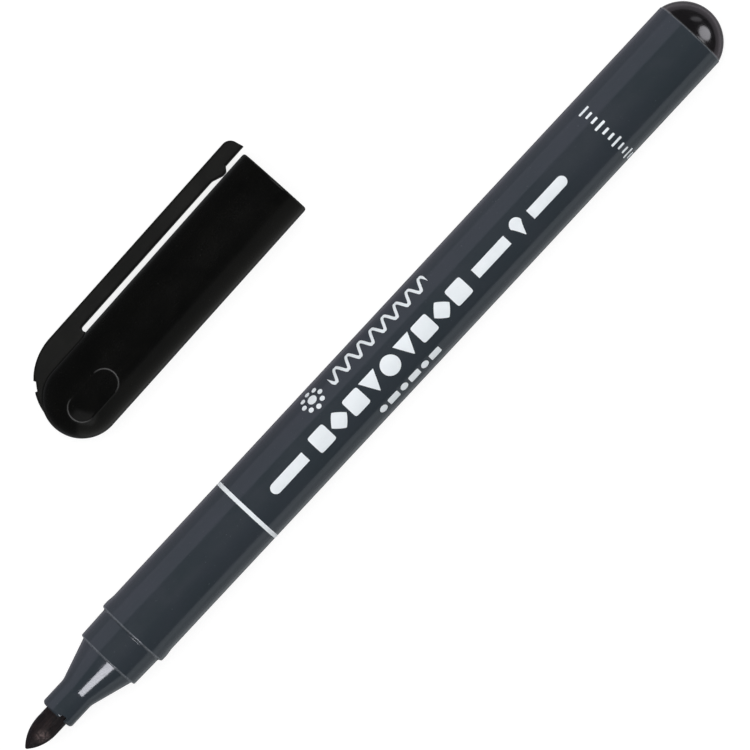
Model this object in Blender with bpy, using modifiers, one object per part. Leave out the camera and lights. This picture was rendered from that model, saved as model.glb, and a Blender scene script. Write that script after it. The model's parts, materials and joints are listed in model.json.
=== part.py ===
"""A felt tip marker lying on its side, with its clip cap pulled off and lying next to it.

The pen lies along X with its nib at -X. Stations along the pen are measured from the nib's tip.
The cap has its own frame: z runs out of its mouth, y points to the side that carries the clip.
"""
import math

import bmesh
import bpy
from mathutils import Matrix

MM = 0.001
MERGE = 0.005 * MM

# Pen: the moulded barrel
PEN_LENGTH = 125.6 * MM
REAR_STATION = 121.85 * MM
REAR_RADIUS = 5.00 * MM
DRAFT_END_STATION = 90.0 * MM
FRONT_RADIUS = 4.91 * MM
COLLAR_RADIUS = 5.03 * MM
SHOULDER_STATION = 19.4 * MM
SHOULDER_RADIUS = 4.72 * MM
NECK_STATION = 15.0 * MM
NECK_RADIUS = 4.50 * MM
CONE_BASE_RADIUS = 4.10 * MM
NOSE_REAR_STATION = 9.4 * MM
NOSE_STATION = 5.6 * MM
NOSE_RADIUS = 2.39 * MM
NOSE_ROUNDING = 0.45 * MM
NOSE_BORE_RADIUS = 1.85 * MM
BORE_RADIUS = 3.80 * MM
BORE_STATION = 17.3 * MM
VENT_GROOVES = 4
VENT_GROOVE_PHASE = math.radians(12.0)
VENT_GROOVE_WIDTH = 0.70 * MM
VENT_GROOVE_RADIUS = 2.10 * MM
CORE_RIBS = 6
CORE_RIB_WIDTH = 0.60 * MM
CORE_RIB_RADIUS = 3.58 * MM
CORE_RIB_START = 20.0 * MM
CORE_RIB_END = 111.0 * MM

# Pen: the pieces inside it
NIB_RADIUS = 1.61 * MM
NIB_LENGTH = 24.0 * MM
NIB_POINT_LENGTH = 3.75 * MM
NIB_TIP_RADIUS = 0.33 * MM
RESERVOIR_RADIUS = 3.28 * MM
RESERVOIR_START = 17.7 * MM
RESERVOIR_END = 112.0 * MM
RESERVOIR_SOCKET_RADIUS = 1.85 * MM
RESERVOIR_SOCKET_DEPTH = 6.9 * MM
WRAP_RADIUS = 3.50 * MM
WRAP_WALL = 0.15 * MM
WRAP_START = 18.3 * MM
WRAP_END = 111.4 * MM

# Pen: the end plug
PLUG_SEAT_GAP = 0.06 * MM
PLUG_RIM_RADIUS = 4.90 * MM
PLUG_SPIGOT_RADIUS = 3.55 * MM
PLUG_SEAL_RADIUS = 3.74 * MM
PLUG_HOLLOW_RADIUS = 2.70 * MM
PLUG_CROWN = 2.4 * MM
PLUG_SPIGOT_LENGTH = 8.0 * MM

# Cap
CAP_LENGTH = 41.4 * MM
CAP_MOUTH_RADIUS = 5.23 * MM
CAP_END_RADIUS = 5.11 * MM
CAP_RIM_ROUNDING = 0.22 * MM
CAP_BORE_RADIUS = 4.68 * MM
CAP_INNER_BORE_RADIUS = 4.50 * MM
CAP_LEDGE_DEPTH = 21.6 * MM
CAP_LEDGE_RADIUS = 4.15 * MM
LINER_FLANGE_RADIUS = 4.40 * MM
LINER_FLANGE_THICKNESS = 0.80 * MM
LINER_RADIUS = 3.05 * MM
LINER_BORE_RADIUS = 2.50 * MM
LINER_MOUTH_DEPTH = 10.3 * MM
LINER_SEAT_GAP = 0.10 * MM
LINER_AIR_NOTCHES = 4

# Cap: the clip, and the rib that carries it round the closed end
CLIP_WIDTH = 4.0 * MM
CLIP_OUTER = 7.95 * MM
CLIP_INNER = 5.87 * MM
CLIP_ROOT_DEPTH = 30.0 * MM
CLIP_ROOT_GAP = 0.30 * MM
CLIP_TIP_REACH = 0.50 * MM
CLIP_TIP_ROUNDING = 1.3 * MM
CLIP_EDGE_ROUNDING = 0.35 * MM
CATCH_START = 5.3 * MM
CATCH_PEAK = 3.7 * MM
CATCH_PEAK_LENGTH = 0.6 * MM
CATCH_END = 2.75 * MM
CATCH_HEIGHT = 0.52 * MM
NOTCH_ANGLE = math.radians(42.8)
NOTCH_LENGTH = 1.25 * MM
NOTCH_DEPTH = 0.31 * MM
VENT_WIDTH = 1.6 * MM
VENT_INNER = 3.6 * MM
VENT_OUTER = 4.9 * MM
VENT_END_DEPTH = 35.5 * MM

# Where the two lie
PEN_AXIS_Y = -14.16 * MM
CAP_MOUTH_X = 10.26 * MM
CAP_MOUTH_Y = PEN_AXIS_Y + 25.43 * MM
CAP_TURN = math.radians(1.23)

AROUND = 48
NIB_AROUND = 32


def new_collection(name):
    """Return a new collection, linked to the scene."""
    collection = bpy.data.collections.new(name)
    bpy.context.scene.collection.children.link(collection)
    return collection


def new_material(name, color, roughness):
    """Return a material with a Principled BSDF of one colour."""
    material = bpy.data.materials.new(name)
    material.use_nodes = True
    shader = material.node_tree.nodes["Principled BSDF"]
    shader.inputs["Base Color"].default_value = (*color, 1.0)
    shader.inputs["Roughness"].default_value = roughness
    shader.inputs["Metallic"].default_value = 0.0
    return material


def new_frame(name, location, turn):
    """Return an empty whose X axis lies along a piece, turned about the vertical by `turn`."""
    empty = bpy.data.objects.new(name, None)
    empty.location = location
    empty.rotation_euler = (0.0, 0.0, turn)
    PARTS.objects.link(empty)
    return empty


def add_object(name, mesh, collection):
    """Link a mesh as a new object, as a part or, in the cutters' collection, as a wire."""
    thing = bpy.data.objects.new(name, mesh)
    collection.objects.link(thing)
    if collection is CUTTERS:
        thing.hide_render = True
        thing.display_type = "WIRE"
    return thing


def arc(radius, center, start, end, steps):
    """Points of an arc from one angle to another, in degrees, with both ends."""
    points = []
    for step in range(steps + 1):
        angle = math.radians(start + (end - start) * step / steps)
        first = center[0] + radius * math.cos(angle)
        second = center[1] + radius * math.sin(angle)
        points.append((first, second))
    return points


def turned(name, outline, collection, around=AROUND):
    """Turn a profile about Z. It runs down the outer side and, if it is hollow, back up inside."""
    points = [(max(radius, 0.0), 0.0, station) for radius, station in outline]
    edges = [(index, index + 1) for index in range(len(points) - 1)]
    if points[0][0] > 0.0:
        edges.append((len(points) - 1, 0))
    mesh = bpy.data.meshes.new(name)
    mesh.from_pydata(points, edges, [])
    thing = add_object(name, mesh, collection)
    screw = thing.modifiers.new("turn", "SCREW")
    screw.axis = "Z"
    screw.angle = math.tau
    screw.steps = around
    screw.render_steps = around
    screw.use_merge_vertices = True
    screw.merge_threshold = MERGE
    screw.use_smooth_shade = True
    return thing


def plate(name, outline, thickness, collection):
    """Make a flat plate from an outline of (z, y) points, as thick as asked along X."""
    curve = bpy.data.curves.new(name, "CURVE")
    curve.dimensions = "2D"
    curve.fill_mode = "BOTH"
    curve.extrude = thickness / 2
    spline = curve.splines.new("POLY")
    spline.points.add(len(outline) - 1)
    spline.use_cyclic_u = True
    for point, (along, across) in zip(spline.points, outline):
        point.co = (along, across, 0.0, 1.0)
    flat = bpy.data.objects.new(name + "_outline", curve)
    bpy.context.scene.collection.objects.link(flat)
    flat.rotation_euler = (0.0, -math.pi / 2, 0.0)
    graph = bpy.context.evaluated_depsgraph_get()
    mesh = bpy.data.meshes.new_from_object(flat.evaluated_get(graph))
    mesh.transform(flat.matrix_world)
    bpy.data.objects.remove(flat)
    bpy.data.curves.remove(curve)
    work = bmesh.new()
    work.from_mesh(mesh)
    bmesh.ops.remove_doubles(work, verts=work.verts, dist=MERGE)
    bmesh.ops.recalc_face_normals(work, faces=work.faces)
    work.to_mesh(mesh)
    work.free()
    return add_object(name, mesh, collection)


def block(name, size, center, turn):
    """Make a cutter: a box of the given size (x, y, z) about its centre, turned by a matrix."""
    mesh = bpy.data.meshes.new(name)
    work = bmesh.new()
    bmesh.ops.create_cube(work, size=1.0)
    work.to_mesh(mesh)
    work.free()
    mesh.transform(turn @ Matrix.Translation(center) @ Matrix.Diagonal((*size, 1.0)))
    return add_object(name, mesh, CUTTERS)


def combine(thing, other, operation, frame):
    """Join `other` to a thing, or cut it out, as a Boolean in the frame that both lie in."""
    modifier = thing.modifiers.new(operation.lower() + "_" + other.name, "BOOLEAN")
    modifier.operation = operation
    modifier.solver = "EXACT"
    modifier.object = other
    settle(other, frame)


def settle(thing, frame):
    """Place a thing made along Z in a frame whose X axis is the piece's length."""
    thing.parent = frame
    thing.rotation_euler = (0.0, math.pi / 2, 0.0)


def round_edges(thing, width, segments=2, limit=35):
    """Round a thing's edges sharper than the limit, in degrees."""
    bevel = thing.modifiers.new("rounding", "BEVEL")
    bevel.width = width
    bevel.segments = segments
    bevel.limit_method = "ANGLE"
    bevel.angle_limit = math.radians(limit)


def smooth(thing, limit=35):
    """Shade a thing smooth, with its sharp edges kept."""
    thing.data.shade_smooth()
    thing.data.set_sharp_from_angle(angle=math.radians(limit))


def finish(thing, frame, material):
    """Settle a part in its frame, smooth it and give it its material."""
    settle(thing, frame)
    smooth(thing)
    thing.data.materials.append(material)
    return thing


def make_barrel(frame, material):
    """The grey moulding: tube, collar, neck, cone and nose, open at the rear."""
    outer = [
        (REAR_RADIUS, REAR_STATION),
        (REAR_RADIUS, DRAFT_END_STATION),
        (FRONT_RADIUS, SHOULDER_STATION + 2.0 * MM),
        (COLLAR_RADIUS, SHOULDER_STATION + 0.95 * MM),
    ]
    rounding = 0.28 * MM
    collar_center = (COLLAR_RADIUS - rounding, SHOULDER_STATION + rounding)
    outer += arc(rounding, collar_center, 0, -90, 3)
    outer += [
        (SHOULDER_RADIUS, SHOULDER_STATION),
        (NECK_RADIUS + 0.10 * MM, SHOULDER_STATION - 0.30 * MM),
        (NECK_RADIUS + 0.06 * MM, SHOULDER_STATION - 1.20 * MM),
        (NECK_RADIUS, NECK_STATION + 0.20 * MM),
        (NECK_RADIUS - 0.18 * MM, NECK_STATION),
        (CONE_BASE_RADIUS, NECK_STATION),
        (NOSE_RADIUS, NOSE_REAR_STATION),
    ]
    nose_center = (NOSE_RADIUS - NOSE_ROUNDING, NOSE_STATION + NOSE_ROUNDING)
    outer += arc(NOSE_ROUNDING, nose_center, 0, -90, 4)
    inner = [
        (NOSE_BORE_RADIUS, NOSE_STATION),
        (NOSE_BORE_RADIUS, NOSE_STATION + 5.0 * MM),
        (BORE_RADIUS - 0.50 * MM, BORE_STATION - 0.60 * MM),
        (BORE_RADIUS, BORE_STATION),
        (BORE_RADIUS, REAR_STATION),
    ]
    barrel = turned("barrel", outer + inner, PARTS)
    groove_size = (VENT_GROOVE_RADIUS, VENT_GROOVE_WIDTH, 6.0 * MM)
    groove_center = (VENT_GROOVE_RADIUS / 2, 0.0, NOSE_STATION + 1.5 * MM)
    for index in range(VENT_GROOVES):
        angle = VENT_GROOVE_PHASE + math.tau * index / VENT_GROOVES
        turn = Matrix.Rotation(angle, 4, "Z")
        groove = block(f"vent_groove_{index}", groove_size, groove_center, turn)
        combine(barrel, groove, "DIFFERENCE", frame)
    rib_depth = BORE_RADIUS - CORE_RIB_RADIUS + 0.40 * MM
    rib_length = CORE_RIB_END - CORE_RIB_START
    for index in range(CORE_RIBS):
        turn = Matrix.Rotation(math.tau * (index + 0.5) / CORE_RIBS, 4, "Z")
        center = (CORE_RIB_RADIUS + rib_depth / 2, 0.0, CORE_RIB_START + rib_length / 2)
        rib = block(f"core_rib_{index}", (rib_depth, CORE_RIB_WIDTH, rib_length), center, turn)
        combine(barrel, rib, "UNION", frame)
    return finish(barrel, frame, material)


def nib_outline():
    """The nib's point is an arc tangent to its shank and to a small round tip."""
    shank_gap = NIB_POINT_LENGTH - NIB_TIP_RADIUS
    flank = (shank_gap ** 2 + NIB_RADIUS ** 2 - NIB_TIP_RADIUS ** 2)
    flank_radius = flank / (2 * (NIB_RADIUS - NIB_TIP_RADIUS))
    flank_center = (NIB_RADIUS - flank_radius, NIB_POINT_LENGTH)
    meeting = math.degrees(math.asin(shank_gap / (flank_radius - NIB_TIP_RADIUS)))
    chamfer = 0.40 * MM
    outline = [
        (0.0, NIB_LENGTH),
        (NIB_RADIUS - chamfer, NIB_LENGTH),
        (NIB_RADIUS, NIB_LENGTH - chamfer),
    ]
    outline += arc(flank_radius, flank_center, 0, -meeting, 7)
    outline += arc(NIB_TIP_RADIUS, (0.0, NIB_TIP_RADIUS), -meeting, -90, 3)[1:]
    return outline


def make_nib(frame, material):
    """The bonded-fibre nib, with its tail in the reservoir's socket."""
    nib = turned("nib", nib_outline(), PARTS, NIB_AROUND)
    return finish(nib, frame, material)


def make_reservoir(frame, material):
    """The fibre core that holds the ink, bored at the front for the nib's tail."""
    edge = 0.30 * MM
    outline = [
        (0.0, RESERVOIR_END),
        (RESERVOIR_RADIUS - edge, RESERVOIR_END),
        (RESERVOIR_RADIUS, RESERVOIR_END - edge),
        (RESERVOIR_RADIUS, RESERVOIR_START + edge),
        (RESERVOIR_RADIUS - edge, RESERVOIR_START),
        (RESERVOIR_SOCKET_RADIUS, RESERVOIR_START),
        (RESERVOIR_SOCKET_RADIUS, RESERVOIR_START + RESERVOIR_SOCKET_DEPTH),
        (0.0, RESERVOIR_START + RESERVOIR_SOCKET_DEPTH),
    ]
    reservoir = turned("ink_reservoir", outline, PARTS)
    return finish(reservoir, frame, material)


def make_wrap(frame, material):
    """The film sleeve round the core."""
    inside = WRAP_RADIUS - WRAP_WALL
    outline = [
        (WRAP_RADIUS, WRAP_END),
        (WRAP_RADIUS, WRAP_START),
        (inside, WRAP_START),
        (inside, WRAP_END),
    ]
    wrap = turned("reservoir_wrap", outline, PARTS)
    return finish(wrap, frame, material)


def make_plug(frame, material):
    """The domed end plug, with a hollow spigot and two sealing beads."""
    seat = REAR_STATION + PLUG_SEAT_GAP
    height = PEN_LENGTH - seat
    dome_radius = (PLUG_RIM_RADIUS ** 2 + height ** 2) / (2 * height)
    rim_angle = math.degrees(math.acos(PLUG_RIM_RADIUS / dome_radius))
    outline = arc(dome_radius, (0.0, PEN_LENGTH - dome_radius), 90, rim_angle, 9)
    outline.append((PLUG_SPIGOT_RADIUS, seat))
    for bead in (seat - 2.0 * MM, seat - 5.0 * MM):
        outline.append((PLUG_SPIGOT_RADIUS, bead + 0.35 * MM))
        outline.append((PLUG_SEAL_RADIUS, bead))
        outline.append((PLUG_SPIGOT_RADIUS, bead - 0.35 * MM))
    end = seat - PLUG_SPIGOT_LENGTH
    crown = PEN_LENGTH - PLUG_CROWN
    outline += [
        (PLUG_SPIGOT_RADIUS, end + 0.4 * MM),
        (PLUG_SPIGOT_RADIUS - 0.3 * MM, end),
        (PLUG_HOLLOW_RADIUS, end),
        (PLUG_HOLLOW_RADIUS, crown - 0.7 * MM),
        (PLUG_HOLLOW_RADIUS - 0.7 * MM, crown),
        (0.0, crown),
    ]
    plug = turned("end_plug", outline, PARTS)
    return finish(plug, frame, material)


def cap_outline():
    """The cap's outer side, from its mouth down to its round closed end, as a solid profile."""
    outline = [(0.0, 0.0)]
    rim_center = (CAP_MOUTH_RADIUS - CAP_RIM_ROUNDING, -CAP_RIM_ROUNDING)
    outline += arc(CAP_RIM_ROUNDING, rim_center, 90, 0, 3)
    end_center = (0.0, CAP_END_RADIUS - CAP_LENGTH)
    outline += arc(CAP_END_RADIUS, end_center, 0, -90, 12)
    return outline


def bore_outline():
    """The cap's inside: the neck's bore, the ledge that the liner rests on and a round end."""
    past_mouth = 1.0 * MM
    outline = [
        (0.0, past_mouth),
        (CAP_BORE_RADIUS, past_mouth),
        (CAP_BORE_RADIUS, -3.0 * MM),
        (CAP_INNER_BORE_RADIUS, -CAP_LEDGE_DEPTH + 2.0 * MM),
        (CAP_INNER_BORE_RADIUS, -CAP_LEDGE_DEPTH),
        (CAP_LEDGE_RADIUS, -CAP_LEDGE_DEPTH),
    ]
    outline += arc(CAP_LEDGE_RADIUS, (0.0, CAP_END_RADIUS - CAP_LENGTH), 0, -90, 8)
    return outline


def make_cap_shell(frame, material):
    """The cap's shell: a round-ended tube with the rib, its notch and the air vent."""
    shell = turned("cap_shell", cap_outline(), PARTS)
    corner = CLIP_OUTER - CAP_LENGTH
    rib_outline = [(-CLIP_ROOT_DEPTH, 0.0), (-CLIP_ROOT_DEPTH, CLIP_OUTER)]
    rib_outline += arc(CLIP_OUTER, (corner, 0.0), 90, 177, 12)
    rib_outline.append((-CAP_LENGTH + 0.5 * MM, 0.0))
    rib = plate("end_rib", rib_outline, CLIP_WIDTH, CUTTERS)
    round_edges(rib, CLIP_EDGE_ROUNDING)
    combine(shell, rib, "UNION", frame)
    bore = turned("cap_bore", bore_outline(), CUTTERS)
    combine(shell, bore, "DIFFERENCE", frame)
    notch_turn = Matrix.Translation((0.0, 0.0, corner)) @ Matrix.Rotation(NOTCH_ANGLE, 4, "X")
    notch_size = (2 * CLIP_WIDTH, NOTCH_LENGTH, 2 * NOTCH_DEPTH)
    notch = block("rib_notch", notch_size, (0.0, 0.0, -CLIP_OUTER), notch_turn)
    combine(shell, notch, "DIFFERENCE", frame)
    vent_length = CAP_LENGTH - VENT_END_DEPTH
    vent_size = (VENT_WIDTH, VENT_OUTER - VENT_INNER, vent_length)
    vent_center = (0.0, (VENT_OUTER + VENT_INNER) / 2, -VENT_END_DEPTH - vent_length / 2)
    vent = block("air_vent", vent_size, vent_center, Matrix.Identity(4))
    combine(shell, vent, "DIFFERENCE", frame)
    return finish(shell, frame, material)


def make_clip(frame, material):
    """The clip arm, hinged at the closed end of its slot, with a catch near its tip."""
    root = -CLIP_ROOT_DEPTH + CLIP_ROOT_GAP
    tip = CLIP_TIP_REACH
    outline = [(root, CLIP_INNER), (root, CLIP_OUTER)]
    corner = (tip - CLIP_TIP_ROUNDING, CLIP_OUTER - CLIP_TIP_ROUNDING)
    outline += arc(CLIP_TIP_ROUNDING, corner, 90, 0, 5)
    outline += [
        (tip, CLIP_INNER),
        (-CATCH_END, CLIP_INNER),
        (-CATCH_PEAK + CATCH_PEAK_LENGTH / 2, CLIP_INNER - CATCH_HEIGHT),
        (-CATCH_PEAK - CATCH_PEAK_LENGTH / 2, CLIP_INNER - CATCH_HEIGHT),
        (-CATCH_START, CLIP_INNER),
    ]
    clip = plate("clip_arm", outline, CLIP_WIDTH, PARTS)
    hinge = Matrix.Translation((0.0, (CLIP_INNER + CLIP_OUTER) / 2, -CLIP_ROOT_DEPTH))
    clip.data.transform(hinge.inverted())
    round_edges(clip, CLIP_EDGE_ROUNDING, limit=60)
    finish(clip, frame, material)
    clip.location = (-CLIP_ROOT_DEPTH, (CLIP_INNER + CLIP_OUTER) / 2, 0.0)
    return clip


def make_liner(frame, material):
    """The cup inside the cap that closes on the nose, on a flange notched for air."""
    flange_base = -CAP_LEDGE_DEPTH + LINER_SEAT_GAP
    flange_top = flange_base + LINER_FLANGE_THICKNESS
    lip = 0.20 * MM
    outline = [
        (LINER_RADIUS - lip, -LINER_MOUTH_DEPTH),
        (LINER_RADIUS, -LINER_MOUTH_DEPTH - lip),
        (LINER_RADIUS, flange_top),
        (LINER_FLANGE_RADIUS, flange_top),
        (LINER_FLANGE_RADIUS, flange_base),
    ]
    floor = flange_base + 0.70 * MM
    solid_base = [(0.0, flange_base), (0.0, floor)]
    cup = [
        (LINER_BORE_RADIUS, floor),
        (LINER_BORE_RADIUS, -LINER_MOUTH_DEPTH - lip),
        (LINER_BORE_RADIUS + lip, -LINER_MOUTH_DEPTH),
    ]
    liner = turned("cap_inner_seal", outline + solid_base + cup, PARTS)
    for index in range(LINER_AIR_NOTCHES):
        turn = Matrix.Rotation(math.tau * index / LINER_AIR_NOTCHES + math.pi / 4, 4, "Z")
        size = (1.6 * MM, 1.4 * MM, 2 * LINER_FLANGE_THICKNESS)
        center = (LINER_FLANGE_RADIUS, 0.0, (flange_top + flange_base) / 2)
        notch = block(f"air_notch_{index}", size, center, turn)
        combine(liner, notch, "DIFFERENCE", frame)
    return finish(liner, frame, material)


def clear_scene():
    """Remove every object of the scene."""
    for thing in list(bpy.data.objects):
        bpy.data.objects.remove(thing, do_unlink=True)


def build():
    """Make the pen and the cap, each in its own frame."""
    grey = new_material("barrel_grey", (0.060, 0.071, 0.088), 0.42)
    black = new_material("gloss_black", (0.010, 0.010, 0.011), 0.16)
    cap_black = new_material("cap_black", (0.008, 0.008, 0.008), 0.40)
    fibre = new_material("nib_fibre", (0.018, 0.012, 0.012), 0.90)
    core = new_material("ink_core", (0.030, 0.020, 0.030), 0.95)
    film = new_material("clear_film", (0.70, 0.70, 0.68), 0.20)
    seal = new_material("seal_natural", (0.62, 0.62, 0.58), 0.45)

    pen = new_frame("pen_axis", (-PEN_LENGTH / 2, PEN_AXIS_Y, COLLAR_RADIUS), 0.0)
    cap = new_frame("cap_axis", (CAP_MOUTH_X, CAP_MOUTH_Y, CAP_MOUTH_RADIUS), CAP_TURN)
    make_barrel(pen, grey)
    make_nib(pen, fibre)
    make_reservoir(pen, core)
    make_wrap(pen, film)
    make_plug(pen, black)
    make_cap_shell(cap, cap_black)
    make_clip(cap, cap_black)
    make_liner(cap, seal)


clear_scene()
PARTS = new_collection("felt_tip_marker")
CUTTERS = new_collection("cutters")
build()
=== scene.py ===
"""A felt tip marker beside its pulled-off cap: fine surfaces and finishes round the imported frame.

Two placements carry every piece. The pen's runs from the nib's tip to the end plug, and the cap's
runs out of the cap's mouth. Every size is in metres, written as millimetres times MM.
"""
import json
import logging
import math
from dataclasses import dataclass, replace
from enum import Enum
from typing import Any, Callable, Mapping, Optional, Sequence

import bmesh
import bpy
import numpy as np
from mathutils import Matrix, Vector


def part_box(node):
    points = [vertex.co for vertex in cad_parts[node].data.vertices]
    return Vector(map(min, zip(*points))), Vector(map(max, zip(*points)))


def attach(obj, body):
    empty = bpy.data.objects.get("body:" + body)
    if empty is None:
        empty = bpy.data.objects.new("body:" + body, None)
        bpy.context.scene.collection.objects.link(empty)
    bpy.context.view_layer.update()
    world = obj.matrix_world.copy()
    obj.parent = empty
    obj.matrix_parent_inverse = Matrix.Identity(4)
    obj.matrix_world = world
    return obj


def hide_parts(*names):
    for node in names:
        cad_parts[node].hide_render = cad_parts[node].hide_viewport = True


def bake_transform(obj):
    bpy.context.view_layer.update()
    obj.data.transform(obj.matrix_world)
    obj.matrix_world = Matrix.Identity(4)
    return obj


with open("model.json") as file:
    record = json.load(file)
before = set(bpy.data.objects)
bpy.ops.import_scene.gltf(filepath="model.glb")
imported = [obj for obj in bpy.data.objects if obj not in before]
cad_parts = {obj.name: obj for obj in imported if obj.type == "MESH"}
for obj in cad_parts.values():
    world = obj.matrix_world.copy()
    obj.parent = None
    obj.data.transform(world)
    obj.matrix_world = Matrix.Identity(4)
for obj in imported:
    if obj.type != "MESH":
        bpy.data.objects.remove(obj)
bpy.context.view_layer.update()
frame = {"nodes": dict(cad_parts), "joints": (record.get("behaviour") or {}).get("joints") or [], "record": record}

MM = 0.001
WELD = 0.0002 * MM
SHARP = math.radians(40.0)
# The name of the mesh mark that says where a highlight is painted lighter.
PAINTED_RIM_HIGHLIGHT = "painted_rim_highlight"
Array = np.ndarray
Color = tuple[float, float, float]
Reshape = Callable[[Array, Array, Array], tuple[Array, Array]]
log = logging.getLogger("felt_tip_marker")


# ---------------------------------------------------------------- places and surfaces

@dataclass(frozen=True)
class Placement:
    """A frame in the world that a piece is worked out in: an origin and three directions."""

    origin: Array
    along: Array
    across: Array
    up: Array

    def place(self, along: float | Array, across: float | Array, up: float | Array) -> Array:
        """Turn distances along the three directions into world points.

        Args:
            along: Distances along the piece's length.
            across: Distances to the side.
            up: Heights over the axis.

        Returns:
            The points, with x, y and z on the last axis.
        """
        first, second, third = np.broadcast_arrays(along, across, up)
        points = self.origin + first[..., None] * self.along
        return points + second[..., None] * self.across + third[..., None] * self.up

    def ring(self, station: Array, radius: Array, angle: Array) -> Array:
        """Place points round the axis.

        Args:
            station: Distances along the axis.
            radius: Distances from the axis.
            angle: Turns from straight up towards the side away from `across`, in radians.

        Returns:
            The points, with x, y and z on the last axis.
        """
        return self.place(station, -radius * np.sin(angle), radius * np.cos(angle))


def pen_placement() -> Placement:
    """Read the pen's axis and its nib's tip from the frame.

    Returns:
        The pen's placement.
    """
    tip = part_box("nib")[0][0]
    low, high = (np.array(corner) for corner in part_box("barrel"))
    middle = (low + high) / 2
    origin = np.array([tip, middle[1], middle[2]])
    return Placement(origin, np.array([1.0, 0.0, 0.0]), np.array([0.0, 1.0, 0.0]),
                     np.array([0.0, 0.0, 1.0]))


def cap_placement() -> Placement:
    """Read the cap's axis and mouth from the frame's slide and from the rim's mount.

    Returns:
        The cap's placement.
    """
    slide = next(joint for joint in frame["joints"] if joint["name"] == "cap_slide")
    rim = next(mount for mount in frame["record"]["mounts"] if mount["name"] == "cap_mouth_rim")
    low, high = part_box("cap_shell")
    along = np.array(slide["axis"], float)
    along /= np.linalg.norm(along)
    up = np.array([0.0, 0.0, 1.0])
    origin = np.array([rim["pos_m"][0], rim["pos_m"][1], (low[2] + high[2]) / 2])
    return Placement(origin, along, np.cross(up, along), up)


@dataclass(frozen=True)
class Corner:
    """A corner of an outline, with the radius that it is rounded to."""

    along: float
    out: float
    rounding: float = 0.0


def arc(center: tuple[float, float], radius: float, start: float, end: float,
        steps: int) -> Array:
    """Points on a circle between two angles, in degrees, as rows of (along, out)."""
    angle = np.radians(np.linspace(start, end, steps + 1))
    return np.stack([center[0] + radius * np.cos(angle), center[1] + radius * np.sin(angle)], 1)


def trace(corners: Sequence[Corner], closed: bool = False, steps: int = 7) -> Array:
    """Join corners by straight lines, with an arc tangent to both lines at each rounded corner.

    The arc touches each line at rounding / tan(half the corner's angle) from the corner, and its
    points are a spherical blend of the two directions from its centre.

    Args:
        corners: The corners in order.
        closed: Whether the last corner joins the first.
        steps: How many steps an arc has.

    Returns:
        The outline's points, as rows of (along, out).
    """
    spots = np.array([(corner.along, corner.out) for corner in corners])
    pieces = []
    share = np.linspace(0.0, 1.0, steps + 1)[:, None]
    for index, corner in enumerate(corners):
        spot = spots[index]
        inner = closed or 0 < index < len(corners) - 1
        if corner.rounding <= 0.0 or not inner:
            pieces.append(spot[None])
            continue
        back = spots[index - 1] - spot
        ahead = spots[(index + 1) % len(corners)] - spot
        back /= np.linalg.norm(back)
        ahead /= np.linalg.norm(ahead)
        half = math.acos(float(np.clip(back @ ahead, -1.0, 1.0))) / 2
        reach = corner.rounding / math.tan(half)
        bisector = (back + ahead) / np.linalg.norm(back + ahead)
        center = spot + bisector * corner.rounding / math.sin(half)
        first, last = spot + back * reach - center, spot + ahead * reach - center
        sweep = math.pi - 2 * half
        blend = np.sin((1 - share) * sweep) * first + np.sin(share * sweep) * last
        pieces.append(center + blend / math.sin(sweep))
    return np.concatenate(pieces)


def hold(outline: Array, closed: bool, reach: float = 0.06 * MM) -> Array:
    """Add a point near both ends of each long side, so that smooth shading stays at the corners.

    Args:
        outline: Rows of (along, out).
        closed: Whether the last point joins the first.
        reach: How far from a side's ends the new points are.

    Returns:
        The outline with the added points.
    """
    start = outline if closed else outline[:-1]
    side = (np.roll(outline, -1, 0) if closed else outline[1:]) - start
    length = np.linalg.norm(side, axis=1, keepdims=True)
    step = side / np.maximum(length, 1e-12) * reach
    points = np.stack([start, start + step, start + side - step], 1)
    keep = np.stack([np.ones(len(start), bool)] + 2 * [length[:, 0] > 5 * reach], 1)
    held = points[keep]
    return held if closed else np.concatenate([held, outline[-1:]])


def skin(name: str, points: Array, wrap_rows: bool, wrap_columns: bool,
         painted_rim_highlight: Optional[Array] = None) -> bpy.types.Object:
    """Make a mesh from a grid of points, weld its seams and poles and turn its faces outwards.

    Args:
        name: The new object's name.
        points: The grid, shaped (rows, columns, 3).
        wrap_rows: Whether the last row joins the first.
        wrap_columns: Whether the last column joins the first.
        painted_rim_highlight: How strongly a highlight is painted lighter at each point, from 0 to 1.

    Returns:
        The new object, linked to the scene.
    """
    rows, columns = points.shape[:2]
    index = np.arange(rows * columns).reshape(rows, columns)
    tall = np.concatenate([index, index[:1]]) if wrap_rows else index
    wide = np.concatenate([tall, tall[:, :1]], 1) if wrap_columns else tall
    quads = np.stack([wide[:-1, :-1], wide[:-1, 1:], wide[1:, 1:], wide[1:, :-1]], -1)
    quads = quads.reshape(-1, 4)
    mesh = bpy.data.meshes.new(name)
    mesh.vertices.add(rows * columns)
    mesh.vertices.foreach_set("co", points.astype(np.float32).ravel())
    mesh.loops.add(quads.size)
    mesh.loops.foreach_set("vertex_index", quads.astype(np.int32).ravel())
    mesh.polygons.add(len(quads))
    mesh.polygons.foreach_set("loop_start", np.arange(0, quads.size, 4, dtype=np.int32))
    mesh.update(calc_edges=True)
    if painted_rim_highlight is not None:
        mesh.attributes.new(PAINTED_RIM_HIGHLIGHT, "FLOAT", "POINT").data.foreach_set(
            "value", painted_rim_highlight.astype(np.float32).ravel())
    piece = bpy.data.objects.new(name, mesh)
    bpy.context.scene.collection.objects.link(piece)
    tidy(piece)
    return piece


def shade(mesh: bpy.types.Mesh) -> None:
    """Shade a mesh smooth, apart from the edges where it turns by more than SHARP."""
    mesh.shade_smooth()
    mesh.set_sharp_from_angle(angle=SHARP)


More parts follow.
